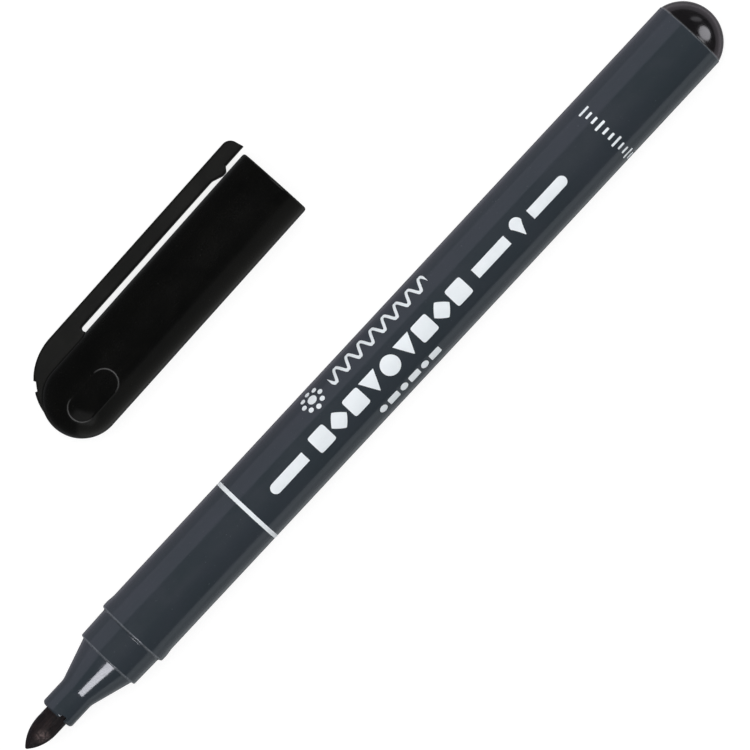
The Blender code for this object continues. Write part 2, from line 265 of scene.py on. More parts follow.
def tidy(piece: bpy.types.Object) -> None:
    """Weld a piece's doubles, turn its faces outwards and shade it.

    Args:
        piece: The piece, changed in place.
    """
    work = bmesh.new()
    work.from_mesh(piece.data)
    bmesh.ops.remove_doubles(work, verts=work.verts, dist=WELD)
    bmesh.ops.dissolve_degenerate(work, edges=work.edges, dist=WELD)
    bmesh.ops.recalc_face_normals(work, faces=work.faces)
    work.to_mesh(piece.data)
    work.free()
    shade(piece.data)


def revolve(name: str, placement: Placement, outline: Array, closed: bool, around: int = 192,
            reshape: Optional[Reshape] = None) -> bpy.types.Object:
    """Turn an outline of (station, radius) once round a placement's axis.

    Args:
        name: The new object's name.
        placement: The frame whose axis it is turned round.
        outline: Rows of (station, radius).
        closed: Whether the outline's last point joins its first, as a hollow piece's does.
        around: How many steps there are in the turn.
        reshape: Gives new stations and radii from the stations, the radii and the angles.

    Returns:
        The new object.
    """
    angle = np.linspace(0.0, math.tau, around, endpoint=False)[:, None]
    shape = (around, len(outline))
    station = np.broadcast_to(outline[:, 0], shape)
    radius = np.broadcast_to(outline[:, 1], shape)
    if reshape is not None:
        station, radius = reshape(station, radius, angle)
    return skin(name, placement.ring(station, radius, angle), True, closed)


def loft(name: str, sections: Array) -> bpy.types.Object:
    """Skin a row of closed sections, and close each end with a fan to the section's middle.

    Args:
        name: The new object's name.
        sections: The sections, shaped (sections, points, 3).

    Returns:
        The new object.
    """
    first = np.broadcast_to(sections[:1].mean(1, keepdims=True), sections[:1].shape)
    last = np.broadcast_to(sections[-1:].mean(1, keepdims=True), sections[-1:].shape)
    return skin(name, np.concatenate([first, sections, last]), False, True)


def join(name: str, pieces: Sequence[bpy.types.Object]) -> bpy.types.Object:
    """Join separate skins into one object.

    Args:
        name: The new object's name.
        pieces: The skins, which are used up.

    Returns:
        The joined object.
    """
    work = bmesh.new()
    for piece in pieces:
        work.from_mesh(piece.data)
    mesh = bpy.data.meshes.new(name)
    work.to_mesh(mesh)
    work.free()
    for piece in pieces:
        used = piece.data
        bpy.data.objects.remove(piece)
        bpy.data.meshes.remove(used)
    joined = bpy.data.objects.new(name, mesh)
    bpy.context.scene.collection.objects.link(joined)
    shade(mesh)
    return joined


def carve(piece: bpy.types.Object, placement: Placement, center: tuple[float, float, float],
          size: tuple[float, float, float]) -> None:
    """Cut a box out of a piece, and keep the cut in its mesh.

    Args:
        piece: The piece, which is one closed surface.
        placement: The frame that the box lies in.
        center: The box's centre along, across and up.
        size: The box's size along, across and up.
    """
    mesh = bpy.data.meshes.new(piece.name + "_cutter")
    work = bmesh.new()
    bmesh.ops.create_cube(work, size=1.0)
    work.to_mesh(mesh)
    work.free()
    axes = Matrix((placement.along, placement.across, placement.up)).transposed().to_4x4()
    axes.translation = placement.place(*center)
    mesh.transform(axes @ Matrix.Diagonal((*size, 1.0)))
    cutter = bpy.data.objects.new(mesh.name, mesh)
    bpy.context.scene.collection.objects.link(cutter)
    cut = piece.modifiers.new("cut", "BOOLEAN")
    cut.operation = "DIFFERENCE"
    cut.object = cutter
    graph = bpy.context.evaluated_depsgraph_get()
    result = bpy.data.meshes.new_from_object(piece.evaluated_get(graph))
    piece.modifiers.remove(cut)
    before = piece.data
    piece.data = result
    result.name = piece.name
    bpy.data.meshes.remove(before)
    bpy.data.objects.remove(cutter)
    bpy.data.meshes.remove(mesh)
    tidy(piece)


def smooth_step(value: Array, low: float, high: float) -> Array:
    """Rise from 0 at `low` to 1 at `high` as 3t^2 - 2t^3."""
    share = np.clip((value - low) / (high - low), 0.0, 1.0)
    return share * share * (3.0 - 2.0 * share)


# ---------------------------------------------------------------- shader arithmetic

class Value:
    """A number that changes over a surface: a socket, with Python's arithmetic."""

    def __init__(self, shader: "Shader", socket: bpy.types.NodeSocket) -> None:
        """Keep the shader that the socket belongs to."""
        self.shader = shader
        self.socket = socket

    def _math(self, operation: str, *values: Any) -> "Value":
        """Add a Math node for one operation.

        Args:
            operation: The node's operation.
            *values: Its inputs, in order.

        Returns:
            The result.
        """
        node = self.shader.node("ShaderNodeMath", {"operation": operation},
                                dict(enumerate(values)))
        return Value(self.shader, node.outputs[0])

    def __add__(self, other: Any) -> "Value":
        """Sum."""
        return self._math("ADD", self, other)

    def __sub__(self, other: Any) -> "Value":
        """Difference."""
        return self._math("SUBTRACT", self, other)

    def __rsub__(self, other: Any) -> "Value":
        """Difference, from a plain number."""
        return self._math("SUBTRACT", other, self)

    def __mul__(self, other: Any) -> "Value":
        """Product."""
        return self._math("MULTIPLY", self, other)

    def __pow__(self, other: Any) -> "Value":
        """Power."""
        return self._math("POWER", self, other)

    def __abs__(self) -> "Value":
        """Size without sign."""
        return self._math("ABSOLUTE", self)

    __radd__ = __add__
    __rmul__ = __mul__

    def within(self, low: float, high: float, start: float = 0.0, end: float = 1.0) -> "Value":
        """Map low..high smoothly onto start..end, and hold the ends.

        Args:
            low: The value that maps onto `start`.
            high: The value that maps onto `end`.
            start: The lowest result.
            end: The highest result.

        Returns:
            The mapped value.
        """
        node = self.shader.node("ShaderNodeMapRange", {"interpolation_type": "SMOOTHSTEP"}, {
            "Value": self, "From Min": low, "From Max": high, "To Min": start, "To Max": end})
        return Value(self.shader, node.outputs["Result"])

    def most(self, other: Any) -> "Value":
        """The larger of two values."""
        return self._math("MAXIMUM", self, other)


class Shader:
    """A material under construction."""

    def __init__(self, name: str) -> None:
        """Start a material with one Principled BSDF on its output.

        Args:
            name: The material's name.
        """
        self.material = bpy.data.materials.new(name)
        self.material.use_nodes = True
        self.tree = self.material.node_tree
        self.surface = self.tree.nodes["Principled BSDF"]

    def node(self, kind: str, settings: Optional[Mapping[str, Any]] = None,
             inputs: Optional[Mapping[Any, Any]] = None) -> bpy.types.Node:
        """Add a node.

        Args:
            kind: The node's type.
            settings: The node's own properties, set before its sockets.
            inputs: A number, colour, Value or socket for each input's name or index.

        Returns:
            The node.
        """
        made = self.tree.nodes.new(kind)
        for key, setting in (settings or {}).items():
            setattr(made, key, setting)
        for key, given in (inputs or {}).items():
            self.feed(made.inputs[key], given)
        return made

    def feed(self, socket: bpy.types.NodeSocket, given: Any) -> None:
        """Link a Value or a socket to an input, or set a plain number or colour on it.

        Args:
            socket: The input.
            given: What it is given.
        """
        if isinstance(given, Value):
            given = given.socket
        if isinstance(given, bpy.types.NodeSocket):
            self.tree.links.new(given, socket)
        else:
            socket.default_value = given

    def position(self, scale: tuple[float, float, float] = (1.0, 1.0, 1.0),
                 turn: float = 0.0) -> bpy.types.NodeSocket:
        """Object coordinates, turned about the vertical and stretched.

        Args:
            scale: How far each axis is squeezed together.
            turn: The turn about the vertical, in radians.

        Returns:
            The coordinates' socket.
        """
        source = self.node("ShaderNodeTexCoord").outputs["Object"]
        turned = self.node("ShaderNodeMapping", None, {"Vector": source,
                                                       "Rotation": (0.0, 0.0, turn)})
        return self.node("ShaderNodeMapping", None, {"Vector": turned.outputs[0],
                                                     "Scale": scale}).outputs[0]

    def axes(self, origin: Sequence[float], turn: float = 0.0) -> tuple[Value, Value, Value]:
        """The three distances from an origin, in metres, with the first turned along a piece.

        Args:
            origin: The point that the distances are from.
            turn: The turn about the vertical, in radians.

        Returns:
            The distances along, across and up.
        """
        source = self.node("ShaderNodeTexCoord").outputs["Object"]
        shifted = self.node("ShaderNodeVectorMath", {"operation": "SUBTRACT"},
                            {0: source, 1: tuple(origin)}).outputs[0]
        turned = self.node("ShaderNodeMapping", None, {"Vector": shifted,
                                                       "Rotation": (0.0, 0.0, turn)}).outputs[0]
        split = self.node("ShaderNodeSeparateXYZ", None, {0: turned})
        return tuple(Value(self, split.outputs[index]) for index in range(3))

    def noise(self, vector: bpy.types.NodeSocket, scale: float, detail: float = 3.0,
              roughness: float = 0.5, warp: float = 0.0) -> Value:
        """Fractal noise from 0 to 1 at a scale per metre.

        Args:
            vector: The coordinates.
            scale: How many features there are to a metre.
            detail: How many finer layers are added.
            roughness: How strong the finer layers are.
            warp: How much the pattern is twisted.

        Returns:
            The noise.
        """
        made = self.node("ShaderNodeTexNoise", None, {
            "Vector": vector, "Scale": scale, "Detail": detail, "Roughness": roughness,
            "Distortion": warp})
        return Value(self, made.outputs["Fac"])

    def mix(self, share: Any, first: Any, second: Any) -> bpy.types.NodeSocket:
        """A colour between two colours.

        Args:
            share: How much there is of the second colour.
            first: The first colour.
            second: The second colour.

        Returns:
            The mixed colour's socket.
        """
        made = self.node("ShaderNodeMix", {"data_type": "RGBA"})
        self.feed(made.inputs["Factor"], share)
        for key, given in (("A", first), ("B", second)):
            socket = next(s for s in made.inputs if s.name == key and s.type == "RGBA")
            self.feed(socket, (*given, 1.0) if isinstance(given, tuple) else given)
        return next(s for s in made.outputs if s.type == "RGBA")

    def fixed(self, **values: float) -> None:
        """Set even values on the surface's own sockets, named with underscores."""
        for key, value in values.items():
            self.surface.inputs[key.replace("_", " ")].default_value = value

    def finish(self, color: bpy.types.NodeSocket, roughness: Value, height: Value,
               depth: float, gloss: float) -> bpy.types.Material:
        """Join everything that makes an unpainted, non-metallic finish to the surface.

        Args:
            color: The colour over the surface.
            roughness: The roughness over the surface.
            height: The grain's height, from 0 to 1.
            depth: How deep the grain is.
            gloss: The specular level, the same all over.

        Returns:
            The finished material.
        """
        grain = self.node("ShaderNodeBump", None, {"Height": height, "Distance": depth,
                                                   "Strength": 1.0})
        for key, given in (("Base Color", color), ("Roughness", roughness),
                           ("Normal", grain.outputs[0])):
            self.feed(self.surface.inputs[key], given)
        self.fixed(Metallic=0.0, Specular_IOR_Level=gloss)
        return self.material


@dataclass(frozen=True)
class MouldedPlastic:
    """Injection-moulded plastic: cloudy pigment, flow lines, a faint grain, fine scuffs and painted highlights."""

    name: str
    color: Color
    tint: Color
    edge: Color
    roughness: float
    gloss: float
    turn: float = 0.0
    # Painted highlights: lighter lines at these stations, and lighter points where a mesh is marked for them.
    painted_edge_highlight_stations: tuple[float, ...] = ()
    origin: tuple[float, float, float] = (0.0, 0.0, 0.0)
    ripple: float = 0.004 * MM
    reads_painted_rim_highlight: bool = False
    painted_edge_highlight_reach: tuple[float, float] = (0.04 * MM, 0.22 * MM)
    cloud_scale: float = 170.0
    streak_scale: float = 900.0
    speck_scale: float = 3800.0
    scuff_scale: float = 5200.0
    wave_scale: float = 260.0
    grain_scale: float = 2600.0

    def material(self) -> bpy.types.Material:
        """Cloud two tones, streak them along the moulding and paint highlights lighter on raised edges.

        Returns:
            The finished material.
        """
        shader = Shader(self.name)
        even = shader.position(turn=self.turn)
        drawn = shader.position((0.06, 1.0, 1.0), self.turn)
        brushed = shader.position((0.25, 1.0, 1.0), self.turn)
        cloud = shader.noise(even, self.cloud_scale, 3.0, 0.55, 0.6)
        streak = shader.noise(drawn, self.streak_scale, 4.0, 0.6)
        speck = shader.noise(even, self.speck_scale, 2.0, 0.6)
        scuff = shader.noise(brushed, self.scuff_scale, 5.0, 0.7)
        wave = shader.noise(brushed, self.wave_scale, 2.0, 0.4)
        grain = shader.noise(even, self.grain_scale, 2.0, 0.5)

        share = (cloud * 0.6 + streak * 0.4).within(0.32, 0.68)
        color = shader.mix(share, self.color, self.tint)
        lighter = speck.within(0.70, 0.78, 0.0, 0.35)
        # Painted highlight: thin lighter lines at the stations, broken up by the scuffs.
        if self.painted_edge_highlight_stations:
            lighter = lighter.most(self.painted_edge_highlight(shader) * scuff.within(0.30, 0.62, 0.25, 0.9))
        # Painted highlight: lighter where the mesh's points are marked for it.
        if self.reads_painted_rim_highlight:
            mark = shader.node("ShaderNodeAttribute", {"attribute_name": PAINTED_RIM_HIGHLIGHT})
            painted_rim_highlight = Value(shader, mark.outputs["Fac"]) * scuff.within(0.25, 0.60, 0.6, 1.0)
            lighter = lighter.most(painted_rim_highlight)
        rough = self.roughness + cloud.within(0.3, 0.7, -0.03, 0.04)
        return shader.finish(shader.mix(lighter, color, self.edge),
                             rough + scuff.within(0.58, 0.75, 0.0, 0.12),
                             wave * 0.93 + grain * 0.04 + scuff * 0.03, self.ripple, self.gloss)

    def painted_edge_highlight(self, shader: Shader) -> Value:
        """How close the surface is to the nearest painted highlight line, from 0 to 1.

        Args:
            shader: The material under construction.

        Returns:
            The closeness.
        """
        along = shader.axes(self.origin, self.turn)[0]
        near = [abs(along - station).within(*self.painted_edge_highlight_reach, 1.0, 0.0)
                for station in self.painted_edge_highlight_stations]
        closest = near[0]
        for other in near[1:]:
            closest = other.most(closest)
        return closest


@dataclass(frozen=True)
class PolishedPlastic:
    """A polished black moulding, with swirls and a few hairlines."""

    name: str
    color: Color
    tint: Color
    roughness: float = 0.13
    gloss: float = 0.5
    ripple: float = 0.006 * MM
    cloud_scale: float = 260.0
    hairline_scale: float = 4200.0

    def material(self) -> bpy.types.Material:
        """Vary the polish slightly, and let fine hairlines catch the light.

        Returns:
            The finished material.
        """
        shader = Shader(self.name)
        cloud = shader.noise(shader.position(), self.cloud_scale, 3.0, 0.5, 0.8)
        hairline = shader.noise(shader.position((1.0, 0.12, 0.5)), self.hairline_scale, 3.0, 0.7,
                                1.2)
        color = shader.mix(cloud.within(0.35, 0.65), self.color, self.tint)
        rough = self.roughness + cloud.within(0.3, 0.7, 0.0, 0.05)
        return shader.finish(color, rough + hairline.within(0.64, 0.72, 0.0, 0.16),
                             cloud * 0.8 + hairline * 0.2, self.ripple, self.gloss)


@dataclass(frozen=True)
class InkedFibre:
    """Bonded fibres soaked with ink: threads along the piece, wet spots, pale dry flecks and a painted highlight
    patch.
    """

    name: str
    dry: Color
    wet: Color
    fleck: Color = (0.05, 0.05, 0.05)
    gloss: float = 0.5
    thread: float = 5200.0
    depth: float = 0.05 * MM
    # The middle and reach of a painted highlight patch, or None for none.
    painted_highlight_spot: Optional[tuple[float, float, float]] = None
    painted_highlight_reach: float = 1.2 * MM
    clump_scale: float = 1100.0
    pool_scale: float = 700.0
    fray_scale: float = 3600.0
    blotch_scale: float = 2300.0

    def material(self) -> bpy.types.Material:
        """Streak two tones along the threads, smooth the wet spots, pale the dry flecks and paint a pale highlight
        patch.

        Returns:
            The finished material.
        """
        shader = Shader(self.name)
        even = shader.position()
        clumped = shader.position((0.5, 1.0, 1.0))
        threads = shader.noise(shader.position((0.10, 1.0, 1.0)), self.thread, 4.0, 0.65, 0.3)
        clump = shader.noise(clumped, self.clump_scale, 3.0, 0.6, 0.5)
        pool = shader.noise(even, self.pool_scale, 2.0, 0.5).within(0.50, 0.66)
        frayed = shader.noise(shader.position((0.35, 1.0, 1.0)), self.fray_scale, 2.0, 0.6, 0.5)
        dry = frayed.within(0.66, 0.74) * clump.within(0.45, 0.62)
        # Painted highlight: a pale blotchy patch round one point, in the flecks' colour.
        if self.painted_highlight_spot is not None:
            along, across, up = shader.axes(self.painted_highlight_spot)
            away = (along ** 2.0 + across ** 2.0 + up ** 2.0) ** 0.5
            blotch = shader.noise(even, self.blotch_scale, 3.0, 0.65, 0.4)
            near = away.within(0.25 * self.painted_highlight_reach, self.painted_highlight_reach, 1.0, 0.0)
            dry = dry.most(near * blotch.within(0.36, 0.66, 0.12, 0.95))
        share = (threads * 0.65 + clump * 0.35).within(0.40, 0.66)
        color = shader.mix(share, self.wet, self.dry)
        return shader.finish(shader.mix(dry, color, self.fleck),
                             0.62 - pool * 0.30 + threads * 0.15,
                             threads * 0.7 + clump * 0.3, self.depth, self.gloss)


@dataclass(frozen=True)
class ScreenInk:
    """Screen-printed ink: off-white, a little chalky, with pinholes that the screen leaves."""

    name: str
    color: Color
    ground: Color
    gloss: float = 0.35
    grain: float = 0.003 * MM
    pinhole_scale: float = 2400.0
    cloud_scale: float = 420.0
    mesh_scale: float = 9000.0

    def material(self) -> bpy.types.Material:
        """Thin the ink in small spots so that the plastic shows faintly through.

        Returns:
            The finished material.
        """
        shader = Shader(self.name)
        even = shader.position()
        thin = shader.noise(even, self.pinhole_scale, 4.0, 0.6).within(0.62, 0.80, 0.0, 0.30)
        cloud = shader.noise(even, self.cloud_scale, 2.0, 0.5).within(0.3, 0.7, 0.0, 0.10)
        mesh = shader.noise(even, self.mesh_scale, 2.0, 0.5)
        return shader.finish(shader.mix(thin + cloud, self.color, self.ground),
                             0.42 + mesh * 0.16, mesh, self.grain, self.gloss)


@dataclass(frozen=True)
class SoftSeal:
    """Uncoloured soft plastic, faintly cloudy, with a fine grain."""

    name: str
    color: Color
    tint: Color
    roughness: float
    gloss: float = 0.4
    grain: float = 0.006 * MM
    cloud_scale: float = 500.0
    grain_scale: float = 3000.0

    def material(self) -> bpy.types.Material:
        """Cloud two pale tones, with a faint grain.

        Returns:
            The finished material.
        """
        shader = Shader(self.name)
        even = shader.position()
        cloud = shader.noise(even, self.cloud_scale, 3.0, 0.55, 0.4)
        return shader.finish(shader.mix(cloud.within(0.3, 0.7), self.color, self.tint),
                             self.roughness + cloud.within(0.3, 0.7, -0.05, 0.06),
                             shader.noise(even, self.grain_scale, 2.0, 0.5), self.grain,
                             self.gloss)


def dress(piece: bpy.types.Object, material: bpy.types.Material) -> None:
    """Give a piece one material."""
    piece.data.materials.clear()
    piece.data.materials.append(material)


# ---------------------------------------------------------------- the pen

@dataclass
class Barrel:
    """The grey moulding: tube, collar, neck, cone and nose."""

    placement: Placement
    rear: float = 121.85 * MM
    rear_radius: float = 5.00 * MM
    draft_end: float = 90.0 * MM
    front_radius: float = 4.91 * MM
    collar_radius: float = 5.03 * MM
    collar_length: float = 0.98 * MM
    collar_fade: float = 2.0 * MM
    shoulder: float = 19.4 * MM
    shoulder_radius: float = 4.72 * MM
    neck: float = 15.0 * MM
    neck_radius: float = 4.50 * MM
    cone_radius: float = 4.10 * MM
    nose_rear: float = 9.4 * MM
    nose: float = 5.6 * MM
    nose_radius: float = 2.39 * MM
    nose_bore: float = 1.85 * MM
    nose_bore_depth: float = 5.2 * MM
    groove_radius: float = 2.12 * MM
    groove_width: float = 0.86 * MM
    groove_phase: float = math.radians(24.5)
    notch: float = 0.62 * MM
    grooves: int = 4
    bore: float = 3.80 * MM
    bore_start: float = 16.8 * MM
    bore_chamfer: float = 0.6 * MM

    def radius_at(self, station: Array) -> Array:
        """The barrel's outer radius at a station behind the collar."""
        spots = (self.shoulder + self.collar_fade, self.draft_end, self.rear)
        return np.interp(station, spots, (self.front_radius, self.rear_radius, self.rear_radius))

    def on_surface(self, station: Array, arc_length: Array, lift: float) -> Array:
        """Wrap flat distances round the barrel.

        Args:
            station: Distances from the nib's tip.
            arc_length: Distances round the barrel from its top.
            lift: Height over the plastic.

        Returns:
            The points.
        """
        radius = self.radius_at(station)
        return self.placement.ring(station, radius + lift, arc_length / radius)

    def groove_shape(self, station: Array, radius: Array, angle: Array
                     ) -> tuple[Array, Array]:
        """Widen the nose's bore to the vent grooves' radius, and notch its mouth where they end.

        A groove's depth falls smoothly from 1 to 0 across its two sides. The mouth is notched
        at every other groove, where the cosine of twice the turn from the first is positive.

        Args:
            station: The surface's stations.
            radius: Its radii.
            angle: Its angles.

        Returns:
            The new stations and radii.
        """
        gap = math.tau / self.grooves
        off = (angle - self.groove_phase + gap / 2) % gap - gap / 2
        side = np.abs(off) * self.nose_bore
        depth = 1.0 - smooth_step(side, self.groove_width * 0.36, self.groove_width * 0.60)
        deep = self.nose + self.nose_bore_depth - 0.1 * MM
        inside = (station < deep) & (radius < self.groove_radius)
        grooved = self.nose_bore + (self.groove_radius - self.nose_bore) * depth
        every_other = np.cos(2 * (angle - self.groove_phase)) > 0
        notched = np.maximum(station, self.nose + self.notch * depth * every_other)
        return notched, np.where(inside, np.maximum(radius, grooved), radius)

    def outline(self) -> Array:
        """The outer side from the rear to the nose, and the bore from the nose to the rear.

        Returns:
            Rows of (station, radius), once round the wall.
        """
        outer = [
            Corner(self.rear, self.bore),
            Corner(self.rear, self.rear_radius, 0.16 * MM),
            Corner(self.draft_end, self.rear_radius),
            Corner(self.shoulder + self.collar_fade, self.front_radius, 1.2 * MM),
            Corner(self.shoulder + self.collar_length, self.collar_radius, 0.5 * MM),
            Corner(self.shoulder, self.collar_radius, 0.26 * MM),
            Corner(self.shoulder, self.shoulder_radius, 0.06 * MM),
            Corner(self.shoulder - 0.16 * MM, self.neck_radius + 0.09 * MM, 0.25 * MM),
            Corner(self.neck, self.neck_radius, 0.16 * MM),
            Corner(self.neck, self.cone_radius, 0.08 * MM),
            Corner(self.nose_rear, self.nose_radius, 2.5 * MM),
            Corner(self.nose, self.nose_radius, 0.42 * MM),
            Corner(self.nose, self.nose_bore, 0.05 * MM),
            Corner(self.nose + self.nose_bore_depth, self.nose_bore, 0.3 * MM),
            Corner(self.bore_start, self.bore - 0.4 * MM, 0.5 * MM),
            Corner(self.bore_start + self.bore_chamfer, self.bore, 0.3 * MM),
        ]
        return hold(trace(outer, closed=True), closed=True)

    def with_groove_rows(self, outline: Array) -> Array:
        """Add rows of points along the nose's bore, in order, for the grooves to end between.

        Args:
            outline: Rows of (station, radius).

        Returns:
            The outline with the rows in it.
        """
        in_bore = outline[:, 1] < self.nose_bore + WELD
        first = np.flatnonzero(in_bore & (outline[:, 0] > self.nose + 0.1 * MM))[0]
        station = np.linspace(self.nose + 0.2 * MM, self.nose + 5.0 * MM, 9)
        rows = np.stack([station, np.full_like(station, self.nose_bore)], 1)
        outline = np.concatenate([outline[:first], rows, outline[first:]])
        bore = np.flatnonzero(outline[:, 1] < self.nose_bore + WELD)
        outline[bore] = outline[bore[np.argsort(outline[bore, 0], kind="stable")]]
        return outline

    def build(self) -> bpy.types.Object:
        """Turn the outline, with the vent grooves worked into the nose's bore.

        Returns:
            The barrel.
        """
        piece = revolve("barrel_shell", self.placement, self.with_groove_rows(self.outline()),
                        True, 288, self.groove_shape)
        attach(piece, "pen")
        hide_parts("barrel")
        return piece

    def dress(self, piece: bpy.types.Object) -> None:
        """Slate grey with cloudy pigment, and highlights painted lighter on its raised edges.

        Args:
            piece: The barrel.
        """
        # Painted highlights: lighter lines at the rear rim, the collar's front and the neck's front edge.
        painted_edge_highlight = (self.rear, self.shoulder + 0.1 * MM, self.neck + 0.05 * MM)
        finish = MouldedPlastic(
            "barrel_grey_plastic", (0.029, 0.038, 0.046), (0.033, 0.040, 0.050),
            (0.15, 0.165, 0.185), 0.14, 0.5, painted_edge_highlight_stations=painted_edge_highlight,
            origin=tuple(self.placement.origin))
        dress(piece, finish.material())


@dataclass
class Nib:
    """The bonded-fibre nib: a bullet point and a tail that runs back into the core."""

    placement: Placement
    radius: float = 1.61 * MM
    length: float = 24.0 * MM
    point_length: float = 3.75 * MM
    tip: float = -0.12 * MM
    tip_radius: float = 0.24 * MM
    streak: float = 0.018 * MM
    lean: float = -0.05 * MM
    # Where the painted highlight patch lies on the point: along, across and up.
    painted_highlight_spot: tuple[float, float, float] = (2.5 * MM, -0.55 * MM, 1.15 * MM)

    def outline(self) -> Array:
        """The point's side is an arc tangent to the shank and to a small round tip.

        Returns:
            Rows of (station, radius), from the tip to the middle of the tail's end.
        """
        center = self.tip + self.tip_radius
        run = self.point_length - center
        side = (run ** 2 + self.radius ** 2 - self.tip_radius ** 2)
        side /= 2 * (self.radius - self.tip_radius)
        meet = math.degrees(math.asin(run / (side - self.tip_radius)))
        flank = arc((self.point_length, self.radius - side), side, 90 + meet, 90, 34)
        tip = arc((center, 0.0), self.tip_radius, 180, 90 + meet, 10)
        tail = trace([Corner(self.length, self.radius), Corner(self.length, 0.0)])
        shank = np.linspace(self.point_length, self.length, 30)[1:-1]
        shank = np.stack([shank, np.full_like(shank, self.radius)], 1)
        return np.concatenate([tip[:-1], flank, shank, tail])

    def fibres(self, station: Array, radius: Array, angle: Array
               ) -> tuple[Array, Array]:
        """Ridge the surface with threads: sine waves round the nib, that wander along it.

        Args:
            station: The surface's stations.
            radius: Its radii.
            angle: Its angles.

        Returns:
            The same stations, and the new radii.
        """
        wander = 0.35 * np.sin(station * 900.0) + 0.2 * np.sin(station * 2300.0 + 1.0)
        ridge = (np.sin(23 * angle + 3 * wander) + 0.7 * np.sin(41 * angle - 2 * wander + 2.0)
                 + 0.5 * np.sin(67 * angle + 5 * wander + 0.7))
        fade = smooth_step(radius, 0.05 * MM, 0.7 * MM)
        return station, radius + self.streak * ridge * 0.45 * fade

    def build(self) -> bpy.types.Object:
        """Turn the nib's outline, ridge it with threads and let it lie to one side of its bore.

        Returns:
            The nib.
        """
        seat = replace(self.placement,
                       origin=self.placement.origin + self.lean * self.placement.across)
        piece = revolve("fibre_nib", seat, self.outline(), False, 288, self.fibres)
        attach(piece, "pen")
        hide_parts("nib")
        return piece

    def dress(self, piece: bpy.types.Object) -> None:
        """Ink-soaked fibre, brown-black with a warm cast.

        Args:
            piece: The nib.
        """
        # Painted highlight: a pale patch on the point's side, in the flecks' colour.
        spot = self.placement.place(*self.painted_highlight_spot)
        finish = InkedFibre("inked_fibre", (0.0125, 0.0070, 0.0068), (0.0030, 0.0021, 0.0021),
                            fleck=(0.105, 0.074, 0.072), gloss=0.28, painted_highlight_spot=tuple(spot))
        dress(piece, finish.material())


@dataclass
class EndPlug:
    """The polished dome that closes the barrel's rear, with its hollow spigot."""

    placement: Placement
    length: float = 125.6 * MM
    seat: float = 121.91 * MM
    rim: float = 4.90 * MM
    spigot: float = 3.55 * MM
    seal: float = 3.74 * MM
    hollow: float = 2.70 * MM
    spigot_length: float = 8.0 * MM
    crown: float = 2.4 * MM

    def outline(self) -> Array:
        """A dome's arc, a rounded rim, the spigot with two beads, and its hollow.

        Returns:
            Rows of (station, radius), from the dome's top to the hollow's.
        """
        height = self.length - self.seat
        radius = (self.rim ** 2 + height ** 2) / (2 * height)
        edge = math.degrees(math.acos(self.rim / radius))
        dome = arc((self.length - radius, 0.0), radius, 0, 90 - edge, 48)
        end = self.seat - self.spigot_length
        beads = [Corner(self.seat, self.rim - 0.12 * MM),
                 Corner(self.seat, self.spigot)]
        for bead in (self.seat - 2.0 * MM, self.seat - 5.0 * MM):
            beads.append(Corner(bead + 0.35 * MM, self.spigot, 0.1 * MM))
            beads.append(Corner(bead, self.seal, 0.15 * MM))
            beads.append(Corner(bead - 0.35 * MM, self.spigot, 0.1 * MM))
        top = self.length - self.crown
        beads += [
            Corner(end, self.spigot, 0.3 * MM),
            Corner(end, self.hollow, 0.1 * MM),
            Corner(top, self.hollow, 0.8 * MM),
            Corner(top, 0.0),
        ]
        return hold(np.concatenate([dome[:-1], dome[-1:] + (0.03 * MM, 0.0), trace(beads)]),
                    closed=False)

    def build(self) -> bpy.types.Object:
        """Turn the plug's outline.

        Returns:
            The plug.
        """
        piece = revolve("domed_end_plug", self.placement, self.outline(), False, 224)
        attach(piece, "pen")
        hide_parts("end_plug")
        return piece

    def dress(self, piece: bpy.types.Object) -> None:
        """Polished black.

        Args:
            piece: The plug.
        """
        finish = PolishedPlastic("polished_black", (0.0070, 0.0065, 0.0075),
                                 (0.0095, 0.0085, 0.0095))
        dress(piece, finish.material())


class Motif(Enum):
    """The plain shapes that the barrel is printed with."""

    BLOCK = "block"
    DISC = "disc"
    LOZENGE = "lozenge"
    WEDGE = "wedge"
    DROP = "drop"
    BAR = "bar"
    BAR_ROUND_FRONT = "bar_round_front"
    BAR_ROUND_REAR = "bar_round_rear"


@dataclass(frozen=True)
class Mark:
    """One printed shape: its motif, where its middle lies and how large it is."""

    motif: Motif
    station: float
    around: float
    length: float
    height: float


